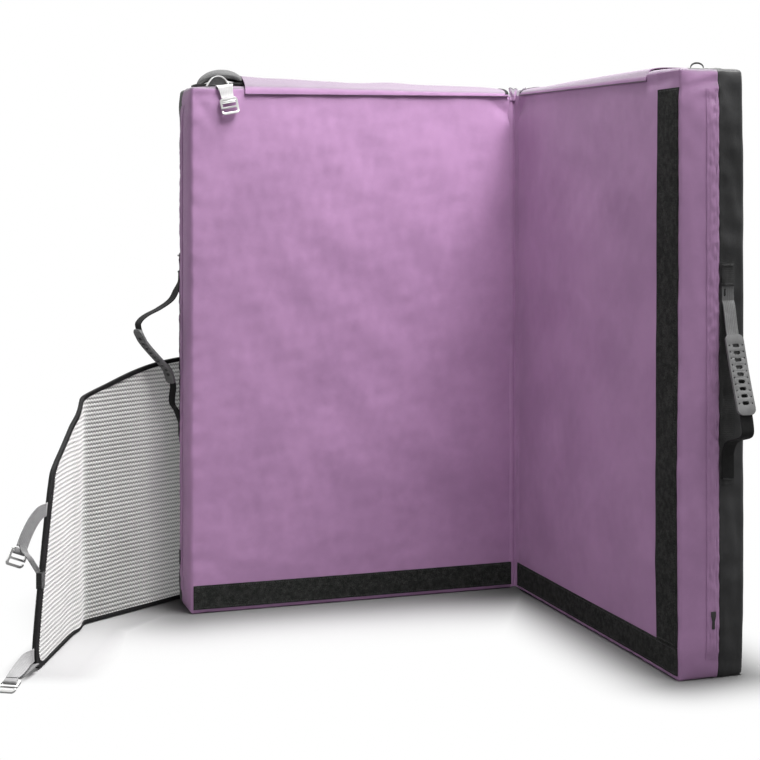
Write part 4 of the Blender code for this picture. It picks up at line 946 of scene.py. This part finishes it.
inner_flat, inner_low, inner_top = panel(flap_start, meet_at, 40)
near_flat, _, near_top = panel(meet_at, crease_at, 34)
beyond_crease = (flap_top[:, 0] > crease_at) & (np.arange(len(flap_top)) <= top_corner)
far_top = even(np.concatenate([near_top[-1:], flap_top[beyond_crease]]), 62)
far_low = even(np.concatenate([[(crease_at, flap_low)], flap_top[low_corner:][::-1]]), 62)
far_edge = even(flap_top[top_corner:low_corner + 1][::-1], columns)
far_flat = patch(far_low, far_top, straight((crease_at, flap_low), near_top[-1], columns),
                 far_edge)
outer_flat = np.concatenate([near_flat, far_flat[1:]])


def flat_area(flat):
    """Area of a flat grid: half the cross product of each square's diagonals."""
    a, b = flat[1:, 1:] - flat[:-1, :-1], flat[:-1, 1:] - flat[1:, :-1]
    return float(np.abs(a[..., 0] * b[..., 1] - a[..., 1] * b[..., 0]).sum() / 2)


def bending(first, second, at):
    """Two moving parts, and where the cloth between them starts and ends to bend."""
    return (first, second, *bend_flap(np.array([(at - 0.01, 0.2), (at + 0.01, 0.2)])))


def mesh_sheet(name, flat, body, *nodes):
    """One sheet of spacer mesh, its zigzag bars laid out by the flat pattern."""
    wave = 0.0009 * ripple(flat[..., 0], flat[..., 1], 21, 0.08, 0.2)
    return ride(shell(name, bend_flap(flat, wave), mesh_thickness, spacer_mesh, uv=flat), body,
                "spacer_mesh", *nodes)


at_hem = bending("half_a", "cover_flap_inner", hem_length)
at_crease = bending("cover_flap_inner", "cover_flap_outer", crease_at)
inner_mesh = mesh_sheet("cover_mesh_inner", inner_flat, at_hem, "cover_flap_hem",
                        "cover_flap_inner")
outer_mesh = mesh_sheet("cover_mesh_outer_cloth", outer_flat, at_crease, "cover_mesh_outer")
print("mesh sheets:", round(flat_area(inner_flat), 4), round(flat_area(outer_flat), 4), "m2")

# %% [markdown]
# A black tape binds the edges: narrow along the top and the floor, twice as wide at the free
# edge. It is swept along the flat outline as a flattened ring, then bent with the mesh.

# %% The binding
def left_of(path):
    """Level directions to the left of a flat path."""
    way = unit(np.gradient(path, axis=0))
    return np.stack([-way[:, 1], way[:, 0]], -1)


def flap_binding(name, path, width, body, *nodes):
    """Tape round an edge of the flap: ring sections across the flat outline, bent after."""
    half = 0.0034
    section = [(1, half - 0.0006), (0.8, half), (0.1, half), (0, half * 0.5), (0, -half * 0.5),
               (0.1, -half), (0.8, -half), (1, -half + 0.0006)]
    width, inward = np.broadcast_to(width, len(path))[:, None], left_of(path)
    rings = np.stack([bend_flap(path + inward * (a * width - 0.001), b) for a, b in section], 1)
    return ride(ring_sweep(name, rings, binding_tape), body, "black_cloth", *nodes)


tape_top = flap_binding("cover_binding_top", inner_top[::-1], 0.0075, at_hem)
tape_low = flap_binding("cover_binding_low", inner_low, 0.0075, at_hem)
outline = even(np.concatenate([straight((meet_at, flap_low), (0.46, flap_low), 60),
                               flap_top[flap_top[:, 0] > meet_at + 0.001][::-1],
                               [(meet_at, near_top[0][1])]]), 260)
walked = run(outline) / run(outline)[-1]
free = np.clip((walked - 0.345) / 0.03, 0, 1) * np.clip((0.715 - walked) / 0.05, 0, 1)
tape_outer = flap_binding("cover_binding_edge", outline, 0.0075 + 0.0105 * free, at_crease,
                          "cover_binding_outer")
seam = outline + left_of(outline) * (0.005 + 0.0105 * free)[:, None]
for number, out in ((1, 0.0036), (2, -0.0036)):
    stitches(f"cover_binding_stitches_{number}", bend_flap(seam, out),
             bend_flap(seam, out) - bend_flap(seam), black_thread, at_crease, "black_cloth")
flat_area(inner_flat)
flat_area(outer_flat)
print("tape along", round(float(run(outline)[-1]), 3), "m of edge")

# %% [markdown]
# ## Small metal and plastic parts
#
# The rigid parts are copies of the solid model, welded, with their edges rounded by a Bevel
# modifier, because real castings and mouldings have no sharp edges.

# %% Rounded copies of rigid parts
for names, *kinds in (
    ("closure cover_upper cover_lower", ("{}_buckle", tumbled_metal, "steel", 0.0009, 30),
     ("{}_roller", tumbled_metal, "steel", 0.0003, 60)),
    ("a b", ("side_handle_grip_{}", grip_rubber, "grey_plastic", 0.0005, 30),
     ("zip_slider_{}", black_plastic, "black_plastic", 0.0004, 30)),
    ("left right", ("ladder_lock_{}", black_plastic, "black_plastic", 0.0006, 30)),
    ("plug socket", ("hip_buckle_{}", black_plastic, "black_plastic", 0.0008, 30)),
    ("closure", ("{}_strap_end", pale_webbing, "pale_webbing", 0.0002, 30)),
    ("cover_upper cover_lower", ("{}_strap_end", light_webbing, "grey_webbing", 0.0002, 30)),
):
    for node, finish, slot, radius, angle in (
            (kind[0].format(name), *kind[1:]) for name in names.split() for kind in kinds):
        solid = frame["nodes"][node]
        mesh = solid.data.copy()
        mesh.name = node + "_made"
        piece = in_scene(node + "_made", mesh)
        piece.modifiers.new("weld", "WELD").merge_threshold = 0.00002
        bevel = piece.modifiers.new("edges", "BEVEL")
        bevel.width, bevel.segments, bevel.use_clamp_overlap = radius, 3, True
        bevel.limit_method, bevel.angle_limit = "ANGLE", math.radians(angle)
        mesh.materials.clear()
        mesh.materials.append(finish)
        mesh.polygons.foreach_set("use_smooth", np.ones(len(mesh.polygons), bool))
        mesh.set_sharp_from_angle(angle=math.radians(35))
        ride(piece, solid["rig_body"], slot, node)
print("small parts are rounded")

# %% [markdown]
# ## Side handles
#
# Each end wall has a webbing handle with a moulded ladder grip. It is sewn flat on a backing
# strip at both ends and leaves it in a loose loop.

# %% Side handles
handle_from_landing, handle_low, handle_span = 0.0766, 0.3, 0.3
handle_out = 0.0138
handle_lean = {"a": math.radians(18), "b": 0.0}
handle_reach = {"a": 0.088, "b": 0.066}
handle_ways = {
    "a": [(0.13, 0.805), (0.45, 0.757), (0.78, 0.722), (0.96, 0.69), (1.0, 0.655),
          (0.85, 0.575), (0.5, 0.478), (0.21, 0.405), (0.12, 0.35), (0.07, 0.29),
          (0.1, 0.235), (0.09, 0.19)],
    "b": [(0.13, 0.745), (0.28, 0.65), (0.48, 0.54), (0.66, 0.45), (0.85, 0.36),
          (0.97, 0.285), (0.97, 0.245), (0.8, 0.222), (0.35, 0.2), (0.1, 0.18)],
}


def side_handle(side):
    """The strap through points of stand-off and height: two pieces that meet in the grip."""
    wall = float(swell(np.array([half_width, handle_from_landing, 0.45]))[0]) - half_width
    flat = wall + (0.0026 if side == "b" else -0.0012)
    middle = [(handle_out + (handle_reach[side] - handle_out) * a, b)
              for a, b in handle_ways[side]]
    path = [(flat, 0.975), (flat, 0.945), (0.0062, 0.905), (0.0125, 0.862), *middle,
            (0.0125, 0.15), (0.0085, 0.11), (flat, 0.065), (flat, 0.0)]
    line = curve([(a, handle_low + handle_span * b) for a, b in path], 9)
    line[:, 0] = np.maximum(line[:, 0], flat)
    lean = handle_lean[side] * np.clip((line[:, 0] - flat) / (handle_out - flat), 0, 1)
    foot = np.array([half_width, handle_from_landing, 0.0])
    away = np.stack([np.cos(lean), -np.sin(lean), 0 * lean], -1)
    side_way = np.stack([np.sin(lean), np.cos(lean), 0 * lean], -1)
    points = foot + away * line[:, :1] + np.array([0, 0, 1]) * line[:, 1:]
    grid = in_room(side, ribbon(points, side_way, 0.02))[:, ::-facing[side]]
    start, end = (in_room(side, foot + np.array([out, 0, 0.45])) for out in
                  (wall + 0.003, handle_out))
    inside_grip = int(np.argmin(np.abs(line[:, 1] - handle_low - handle_span * 0.5)))
    for place, part, finish in (
        ("upper", grid[:inside_grip + 1], binding_tape if side == "a" else grey_webbing),
        ("lower", grid[inside_grip - 1:], binding_tape),
    ):
        ride(shell(f"handle_strap_{place}_{side}", part, 0.0017, finish),
             (f"half_{side}", f"side_handle_{side}", start, end), "grey_webbing",
             f"side_handle_webbing_{side}")


def end_patch(name, side, low, high, width, lift, *nodes):
    """A strip of webbing sewn on the end wall between two heights."""
    t = np.linspace(handle_from_landing - width / 2, handle_from_landing + width / 2, 9)
    grid = on_cloth(side, half_width, t[:, None], spaced(low, high, 0.006, 4), lift)
    ride(shell(name, grid[::-facing[side]], 0.0016, black_webbing), f"half_{side}",
         "black_webbing", *nodes)


for side in "ab":
    side_handle(side)
    end_patch(f"handle_patch_{side}", side, handle_low - 0.01, handle_low + handle_span + 0.024,
              0.025, 0.0012, f"handle_anchor_{side}")
    if side == "b":
        end_patch("handle_cap_b", side, handle_low + handle_span - 0.012,
                  handle_low + handle_span + 0.02, 0.021, 0.0042)
    for number, (z, lift) in enumerate(((0.298, 0.0042), (0.5895, 0.0055), (0.6185, 0.0055))):
        t = np.linspace(handle_from_landing - 0.0085, handle_from_landing + 0.0085, 12)
        bartack = on_cloth(side, half_width, t, z + 0.0011 * np.arange(3)[:, None], lift)
        stitches(f"handle_bartack_{side}_{number}", bartack.reshape(-1, 3), end_out[side],
                 black_thread, f"half_{side}", "black_webbing", 0.0011, 0.0022, 0.001)
print("handles reach", handle_reach, "m from the end walls")

# %% [markdown]
# ## Zips and plackets
#
# A coil zip closes each cover along the end wall. A folded strip of purple cloth, the
# placket, hides it and is sewn with two rows of stitches that pull the cloth into puckers.

# %% Plackets
placket_middle, placket_half = landing_depth - 0.0116, 0.01
for side, seed, puff in (("a", 31, 0.001), ("b", 32, 0.0019)):
    share = np.linspace(-1, 1, 15)[:, None]
    z = np.linspace(0.03, half_height - 0.03, 240)
    pucker = ripple(z, share * 0.02, seed, 0.008, 0.022)
    fade = np.clip((half_height - 0.03 - z) / 0.05, 0, 1) * np.clip((z - 0.03) / 0.03, 0, 1)
    lift = 0.0005 + (puff + 0.0004 * pucker) * (1 - share**4) * fade
    lift -= 0.0007 * fade * (np.exp(-((share - 0.55) / 0.12) ** 2)
                             + np.exp(-((share + 0.62) / 0.12) ** 2))
    grid = on_cloth(side, half_width, placket_middle + share * placket_half, z, lift)
    ride(shell(f"placket_cloth_{side}", grid[::-facing[side]], 0.0007, purple_cloth),
         f"half_{side}", "purple_cloth", f"zip_placket_{side}", f"zip_chain_{side}")
    for number, at in enumerate((0.55, -0.62)):
        path = on_cloth(side, half_width, placket_middle + at * placket_half,
                        np.linspace(0.033, half_height - 0.033, 400),
                        0.0005 + puff * (1 - at**4) * 0.7)
        stitches(f"placket_stitches_{side}_{number}", path, end_out[side], purple_thread,
                 f"half_{side}", "purple_cloth")
print("plackets", 2 * placket_half, "m wide")

# %% [markdown]
# ## Carry handle and closure strap
#
# On top of half A a stiff ribbed handle arches forward. Beside it the pale closure strap has
# a small bow, runs to the edge and hangs over it. It is sewn on top, and the hook buckle
# hangs below.

# %% Carry handle
carry_from_fold, carry_span, carry_height, carry_lean = 0.5448, 0.082, 0.0262, math.radians(22)
carry_section = curve([(-0.0125, -0.0075), (-0.0128, -0.0035), (-0.0095, -0.0002),
                       (0.0, 0.0012), (0.0095, -0.0004), (0.013, -0.005),
                       (0.0142, -0.011), (0.0146, -0.0175)], 3)


def on_top(w, t, out):
    """Points above the swollen top wall, still in the half's own directions."""
    w, t = np.broadcast_arrays(np.asarray(w, float), np.asarray(t, float))
    place = swell(np.stack([w, t, np.full(w.shape, half_height)], -1))
    return place + np.asarray(out)[..., None] * np.array([0, 0, 1.0])


angle = np.linspace(0, np.pi, 61)
rise, lean = np.sin(angle) * carry_height, carry_lean * np.sin(angle)
foot = on_top(carry_from_fold - np.cos(angle) * carry_span / 2, 0.036, 0.0006)
middle = foot + np.stack([0 * lean, -np.sin(lean) * rise, np.cos(lean) * rise], -1)
side_way = np.stack([0 * lean, np.cos(lean), np.sin(lean)], -1)
up_way = unit(np.cross(np.gradient(middle, axis=0), side_way))
fold = np.clip(np.sin(angle) * 1.25, 0, 1)[:, None, None] ** 0.8
flat_across = np.linspace(-0.016, 0.016, len(carry_section))[None, :, None]
grid = in_room("a", middle[:, None] + side_way[:, None] * (
    carry_section[None, :, :1] * fold + flat_across * (1 - fold))
    + up_way[:, None] * carry_section[None, :, 1:] * fold)
ride(shell("carry_handle_webbing", grid, 0.003, handle_webbing), "half_a", "black_webbing",
     "carry_handle")
for number, at in enumerate((5, 13)):
    up = grid_normals(grid)[4:-4, at]
    stitches(f"carry_handle_stitches_{number}", grid[4:-4, at] + up * 0.0016, up, black_thread,
             "half_a", "black_webbing")
base = on_top(np.linspace(0.5, 0.5935, 24), 0.034, 0.0034)
ride(strap("carry_handle_base", in_room("a", base), (0, 1, 0), 0.036, 0.0034, black_webbing),
     "half_a", "black_webbing")
print("handle rises", carry_height, "m")

# %% Closure strap
strap_at, bow_at, bow_depth = 0.5446, 0.5555, 0.0068
flat_part = [tuple(on_top(strap_at, t, out)) for t, out in
             ((0.02, 0.0012), (0.012, 0.0014), (0.005, 0.0022))]
over_edge = [(0.0004, -0.0012, 0.0042), (0.0001, -0.0036, 0.002), (-0.0012, -0.0038, -0.004),
             (-0.0026, -0.0034, -0.011), (-0.0039, -0.0034, -0.0168)]
middle = curve(flat_part + [(strap_at + dw, t, half_height + dz) for dw, t, dz in over_edge], 6)
at_point = np.arange(len(middle)) / 6
lean = np.radians(np.interp(at_point, range(8), (0, 0, 4, 8, 11, 11, 11, 11)))
strap_width = np.interp(at_point, range(8),
                        (0.026, 0.028, 0.029, 0.0285, 0.027, 0.0245, 0.0228, 0.0222))
ride(strap("closure_strap_webbing", in_room("a", middle),
           np.stack([-np.cos(lean), 0 * lean, -np.sin(lean)], -1), strap_width, 0.0015,
           pale_webbing),
     ("half_a", "closure_strap", (-0.2426, -0.05, 0.918), (-0.2426, -0.0585, 0.912)),
     "pale_webbing", "closure_strap_tail")
share = np.linspace(-1, 1, 41)
w = bow_at + share * 0.02
height = 0.0012 + 0.0175 * (1 - np.abs(share) ** 2.3)
ride(strap("closure_bow", in_room("a", on_top(w, bow_depth, height)), (0, 1, 0), 0.01, 0.0014,
           pale_webbing), "half_a", "pale_webbing", "closure_strap_anchor")
# Under the bow, a grey strip stands for the pale strap's inside in shade: painted shade.
inner = on_top(w[5:-5], bow_depth + 0.0038, height[5:-5] / 2 + 0.0005)
ride(strap("closure_bow_shaded_inside", in_room("a", inner), (0, 0, 1), height[5:-5] - 0.003, 0.0012,
           grey_webbing), "half_a", "pale_webbing")
for number, at in enumerate((0.015, 0.0185)):
    path = on_top(np.linspace(strap_at - 0.01, strap_at + 0.01, 20), at, 0.0022)
    stitches(f"closure_stitches_{number}", in_room("a", path), (0, 0, 1), grey_thread, "half_a",
             "pale_webbing")
print("bow", round(float(height.max()), 4), "m high")

# %% [markdown]
# ## Hook loops
#
# Small webbing loops on half B take the hook buckles when the pad is closed. A loop is a
# strap along a half circle, or along a long low arch for the two on the back.

# %% Loops on half B
angle = np.linspace(0, np.pi, 41)
chord = np.cos(angle) * 0.0095
foot = on_top(0.5685 - chord * 0.5, 0.05 - chord * 0.87, 0.0011 + np.sin(angle) * 0.007)
ride(strap("top_loop_webbing", in_room("b", foot), (0.5, 0.87, 0), 0.016, 0.0013, grey_webbing),
     "half_b", "black_webbing", "top_hook_loop")
for name, at in (("upper", 0.195), ("lower", 0.062)):
    share = np.linspace(0, 1, 31)
    line = on_cloth("b", 0.3, half_depth, at + 0.06 * (share - 0.5),
                    0.0012 + 0.011 * np.sin(np.pi * share) ** 0.7)
    ride(strap(f"back_loop_{name}", line, (0, 1, 0), 0.02, 0.0015, black_webbing), "half_b",
         "black_webbing", f"back_hook_loop_{name}")
    for end in (0, 1):
        z = at + 0.06 * (end - 0.5) + 0.003 * (1 - 2 * end)
        path = on_cloth("b", np.linspace(0.292, 0.308, 12), half_depth, z, 0.0032)
        stitches(f"back_loop_{name}_bartack_{end}", path, (1, 0, 0), grey_thread, "half_b",
                 "black_webbing", 0.0012, 0.0022, 0.001)
print("three loops on half B")

# %% [markdown]
# ## Straps of the cover flap
#
# Two grey straps leave the flap's free edge, each with a hook buckle, and a thinner return
# runs from each buckle back to the flap. Their lines come from the solid model, with more
# points, and their width turns about the line where the strap twists.

# %% Cover flap straps
def on_edge(edge, height):
    """A point beyond the crease, at a distance along the flap and a height."""
    return np.array([*crease, 0.0]) + outer_way * edge + np.array([0, 0, height])


def turned(vectors, axes, angles):
    """Vectors turned about axes: Rodrigues' formula."""
    c, s = np.cos(angles)[:, None], np.sin(angles)[:, None]
    dot = (vectors * axes).sum(-1, keepdims=True)
    return vectors * c + np.cross(axes, vectors) * s + axes * dot * (1 - c)


outer_way, ends = np.array([*heading(outer_turn), 0.0]), {}
for name, height, edge, gap, degrees, reach, fall, twist, shares in (
    ("upper", 0.236, 0.2106, 0.001, 205, 0.042, 0.052, 0,
     ((0.0, 0.0), (0.25, 0.07), (0.55, 0.32), (0.82, 0.68), (1.0, 1.0))),
    ("lower", 0.028, 0.2785, 0.0025, 240, 0.07, 0.011, 90,
     ((0.0, 0.0), (0.3, -0.1), (0.65, 0.45), (1.0, 1.0))),
):
    way = np.array([*heading(math.radians(degrees)), 0.0])
    root = on_edge(edge + gap + 0.006, height)
    line = curve([root + way * reach * a - np.array([0, 0, fall * b]) for a, b in shares], 8)
    line = np.concatenate([[on_edge(edge - 0.004, height), on_edge(edge + 0.001, height)], line])
    along = unit(np.gradient(line, axis=0))
    side = unit(np.cross(np.cross(way, [0, 0, 1.0]), along))
    side[:3] = (0, 0, 1)
    share = np.clip(np.arange(len(line)) - 2, 0, None) / (len(line) - 3)
    side = turned(side, along, math.radians(twist) * share)
    ride(strap(f"cover_strap_{name}_webbing", line, side, 0.02, 0.0016, light_webbing),
         "cover_flap_outer", "grey_webbing", f"cover_strap_{name}")
    ends[name] = line[-1] - along[-1] * 0.003, side[-1]

# A return runs from beside its buckle back to the flap's edge.
for name, to_height, to_edge, sag in (("upper", 0.14, 0.244, (0.01, 0.006)),
                                      ("lower", 0.014, 0.274, (0.006, -0.004))):
    (start, side), end = ends[name], on_edge(to_edge, to_height)
    middle = (start + end) / 2 + outer_way * sag[0] + np.array([0, 0, sag[1]])
    path = curve([start, start * 0.65 + middle * 0.35 + np.array([0, 0, -0.004]), middle, end], 10)
    ride(strap(f"cover_return_{name}", path, side, 0.014, 0.0014, grey_webbing),
         ("cover_flap_outer", f"cover_buckle_{name}", path[-1], path[0]), "grey_webbing")
tab = np.stack(np.meshgrid(np.linspace(crease_at + 0.236, crease_at + 0.2535, 8),
                           np.linspace(0.122, 0.146, 9), indexing="ij"), -1)
ride(shell("cover_tab", bend_flap(tab), 0.0088, black_webbing), "cover_flap_outer",
     "black_webbing")
print("straps and returns:", list(ends))

# %% [markdown]
# ## The harness
#
# The back of half A carries a yoke, two padded shoulder straps, a lumbar pad and two hip
# wings. The pads are closed pillows: their thickness falls towards the edge by one minus the
# distance from the middle to a high power.

# %% Shoulder straps and yoke
def pillow(name, grid, thickness, finish, power, low, *rides):
    """A padded shape: a grid whose thickness falls to a share of itself at the rim."""
    a = np.linspace(-1, 1, grid.shape[0])[:, None]
    b = np.linspace(-1, 1, grid.shape[1])[None]
    fall = (1 - np.abs(a) ** (power * 3)) * (1 - np.abs(b) ** power)
    return ride(shell(name, grid, thickness * (low + (1 - low) * fall), finish, crisp=55), *rides)


harness_middle, yoke_low = 0.302, half_height - 0.19
w, z = spaced(0.202, 0.402, 0.005, 4)[:, None], spaced(yoke_low, yoke_low + 0.06, 0.005, 4)
pillow("yoke_panel", on_cloth("a", w, half_depth, z, 0.0012)[::-1], 0.002, black_cloth, 6, 0.35,
       "half_a", "black_cloth", "harness_yoke")
for edge in (0.0035, 0.0565):
    path = on_cloth("a", np.linspace(0.206, 0.398, 60), half_depth, yoke_low + edge, 0.0024)
    stitches(f"yoke_stitches_{edge:.4f}", path, (0, 1, 0), grey_thread, "half_a", "black_cloth")

for name, way in (("left", 1), ("right", -1)):
    share = np.linspace(0, 1, 61)
    spread = harness_middle + way * (0.05 + 0.045 * share**1.5)
    top, seat = half_height - 0.16, 0.0021 + 0.005
    line = on_cloth("a", spread, half_depth, top - 0.42 * share,
                    seat + 0.032 * np.sin(np.pi * share) ** 0.8)
    line = np.concatenate([on_cloth("a", spread[:1], half_depth, top + 0.018, seat), line])
    side = unit(np.cross([0, 1.0, 0], np.gradient(line, axis=0)))
    grid = ribbon(line, side, 0.06, 19)
    pad = pillow(f"shoulder_pad_{name}", grid, 0.01, black_cloth, 8, 0.4, "half_a",
                 "black_cloth", f"shoulder_strap_{name}")
    normal = grid_normals(grid)
    for number, at, face in ((0, 2, 1), (0, 2, -1), (1, 16, 1), (1, 16, -1)):
        stitches(f"shoulder_{name}_stitches_{number}_{'in' if face < 0 else 'out'}",
                 grid[2:-2, at] + normal[2:-2, at] * face * 0.0046, normal[2:-2, at] * face,
                 grey_thread, "half_a", "black_cloth")
    share = np.linspace(0, 1, 40)
    out = np.interp(share, [0, 0.1, 0.35, 1], [0.0071, 0.0042, 0.0012, 0.0012])
    path = on_cloth("a", spread[-1] + way * 0.05 * share, half_depth,
                    top - 0.42 - 0.004 - 0.2 * share, out)
    ride(strap(f"shoulder_web_{name}", path, (1, 0, 0), 0.025, 0.0015, black_webbing), "half_a",
         "black_webbing", f"shoulder_webbing_{name}")
print("yoke at", yoke_low, "m")

# %% [markdown]
# The hip wings turn on the lumbar pad's edges. Each is a pillow whose outline narrows towards
# its tip, drawn as a grid of shares of its length and of its height at that length. The half
# height falls from root to tip, and the tip's corners are round.

# %% Lumbar pad and hip wings
hip_root, hip_z, hip_height, hip_length, hip_stand = 0.035, 0.105, 0.09, 0.155, 0.0123
for name, way in (("left", 1), ("right", -1)):
    share, v = np.linspace(0, 1, 45)[:, None], np.linspace(-1, 1, 25)[None]
    half = (hip_height / 2) * (1 - 0.5 * share)
    reach = 0.0008 + (hip_length - 0.0008) * share * (1 - 0.045 * np.abs(v) ** 4)
    corner = 1 - 0.2 * np.clip((share - 0.88) / 0.12, 0, 1) ** 2
    root = swell(np.array([harness_middle + way * hip_root, half_depth, hip_z]))[1]
    grid = in_room("a", np.stack(np.broadcast_arrays(
        harness_middle + way * (hip_root + reach), root + hip_stand - 0.005,
        hip_z + v * half * corner), -1))
    wing = pillow(f"hip_pad_{name}", grid[::way, ::-1], 0.01, black_cloth, 8, 0.35,
                  f"hip_wing_{name}", "black_cloth", f"hip_wing_{name}")
grid = on_cloth("a", np.linspace(0.2682, 0.3358, 20)[:, None], half_depth,
                np.linspace(0.06, 0.15, 26), 0.0064)
lumbar = pillow("lumbar_cushion", grid[::-1], 0.0122, black_cloth, 8, 0.5, "half_a",
                "black_cloth", "lumbar_pad")
print("hip wings", hip_length, "m long")

# %% [markdown]
# ## Floor and light
#
# A product picture: white all round, a soft shadow under the pad, and light from above. A
# large lamp overhead and a pale world give that, and painted shade on the floor near the pad
# deepens the shadow. Seen by the camera or in gloss, the world is plain white.

# %% World, floor and lamps
room_light = 0.37
world = bpy.data.worlds.new("studio")
bpy.context.scene.world = world
world.use_nodes = True
tree = world.node_tree
rays = tree.nodes.new("ShaderNodeLightPath").outputs
seen = Wire(tree, rays["Is Camera Ray"])
for kind in ("Glossy", "Transmission"):
    seen = seen.math("MAXIMUM", seen, Wire(tree, rays[f"Is {kind} Ray"]))
tree.links.new(seen.mix((room_light, room_light, room_light * 1.01, 1), grey(1)).socket,
               tree.nodes["Background"].inputs["Color"])

for name, place, aim, size, power in (
    ("overhead", (0.58, -0.5, 2.6), (0.1, -0.35, 0.5), (1.5, 1.2), 150),
    ("back", (-0.3, 2.3, 2.7), (0, -0.1, 0.7), (1.8, 1.8), 14),
    ("left", (-3.53, 0.94, 1.87), (0, -0.35, 0.5), (1.4, 1.4), 13),
    ("right", (1.29, -2.58, 3.56), (0, -0.35, 0.5), (1.4, 1.4), 16),
):
    light = bpy.data.lights.new(name, "AREA")
    light.energy, light.shape = power, "RECTANGLE"
    light.size, light.size_y = size
    back = unit(np.subtract(place, aim))
    side = unit(np.cross([0, 0, 1.0], back))
    up = np.cross(back, side)
    in_scene(name, light).matrix_world = Matrix(
        [[side[k], up[k], back[k], place[k]] for k in range(3)] + [[0, 0, 0, 1]])

floor_finish = new_finish("floor_paint", roughness=0.9, specular_ior_level=0.0)[0]
floor = add_piece("floor", np.array([(-12, -12, 0), (12, -12, 0), (12, 12, 0), (-12, 12, 0)]),
                  [(0, 1, 2, 3)], floor_finish)
tree = floor_finish.node_tree
paint = tree.nodes["Principled BSDF"].inputs
seen = Wire(tree, tree.nodes.new("ShaderNodeLightPath").outputs["Is Camera Ray"])
print("studio is lit")

# %% [markdown]
# The floor is white but for a grey patch near the pad. Further off the camera sees a plain
# white glow, and near the halves and the flap grey paint without it, in which a painted
# contact shadow darkens towards the halves. Each patch is a rectangle on the floor that its
# moving part carries along.

# %% The floor near the pad
def beyond(body, middle, half, turn=0.0):
    """Distance of a floor point from a turned rectangle that a body carries with it."""
    place = tree.nodes.new("ShaderNodeTexCoord")
    place.object = bpy.data.objects["body:" + body]
    spot = Wire(tree, place.outputs["Object"])
    c, s = math.cos(turn), math.sin(turn)
    x, y = spot.part("X") - middle[0], spot.part("Y") - middle[1]
    a, b = (spot.math("MAXIMUM", way.size() - size, 0.0)
            for way, size in zip((x * c + y * s, y * c - x * s), half))
    return (a * a + b * b) ** 0.5


out_of_a = beyond("half_a", (0, 0), (half_width / 2, half_depth / 2))
out_of_b = beyond("half_b", (0.3625, -0.3625), (half_depth / 2, half_width / 2))
zones = [out_of_a.step(0.03, 0.31), out_of_b.step(0.0, 0.16)]
for body, start, length, turn, reach in (
    ("cover_flap_inner", flap_root, crease_at, inner_turn, 0.08),
    ("cover_flap_outer", crease, outer_length, outer_turn, 0.06),
):
    middle = start + heading(turn) * length / 2 + heading(turn + math.pi / 2) * 0.03
    zones.append(beyond(body, middle, (length / 2, 0.03), turn).step(0.0, reach))
away = zones[0]
for zone in zones[1:]:
    away = away.math("MINIMUM", away, zone)
# Painted shadow: the grey paint darkens towards the halves, most in the corner between them.
painted_contact_shadow = out_of_a.step(-0.12, 0.26) * out_of_b.step(-0.14, 0.22)
near_shaded_paint = away.mix(painted_contact_shadow.mix(grey(0.03), grey(0.42)), grey(0))
tree.links.new(seen.mix(grey(0.16), near_shaded_paint).socket, paint["Base Color"])
tree.links.new((away * seen).mix(grey(0), grey(1)).socket, paint["Emission Color"])
paint["Emission Strength"].default_value = 1.0
print(len(zones), "floor patches")

# %% [markdown]
#
# All solid nodes are dressed by now. The last cell prints those that still show, which should
# be none.

# %% Solid nodes still shown
left = [name for name, node in frame["nodes"].items() if not node.hide_render]
print("solid nodes still shown:", left)
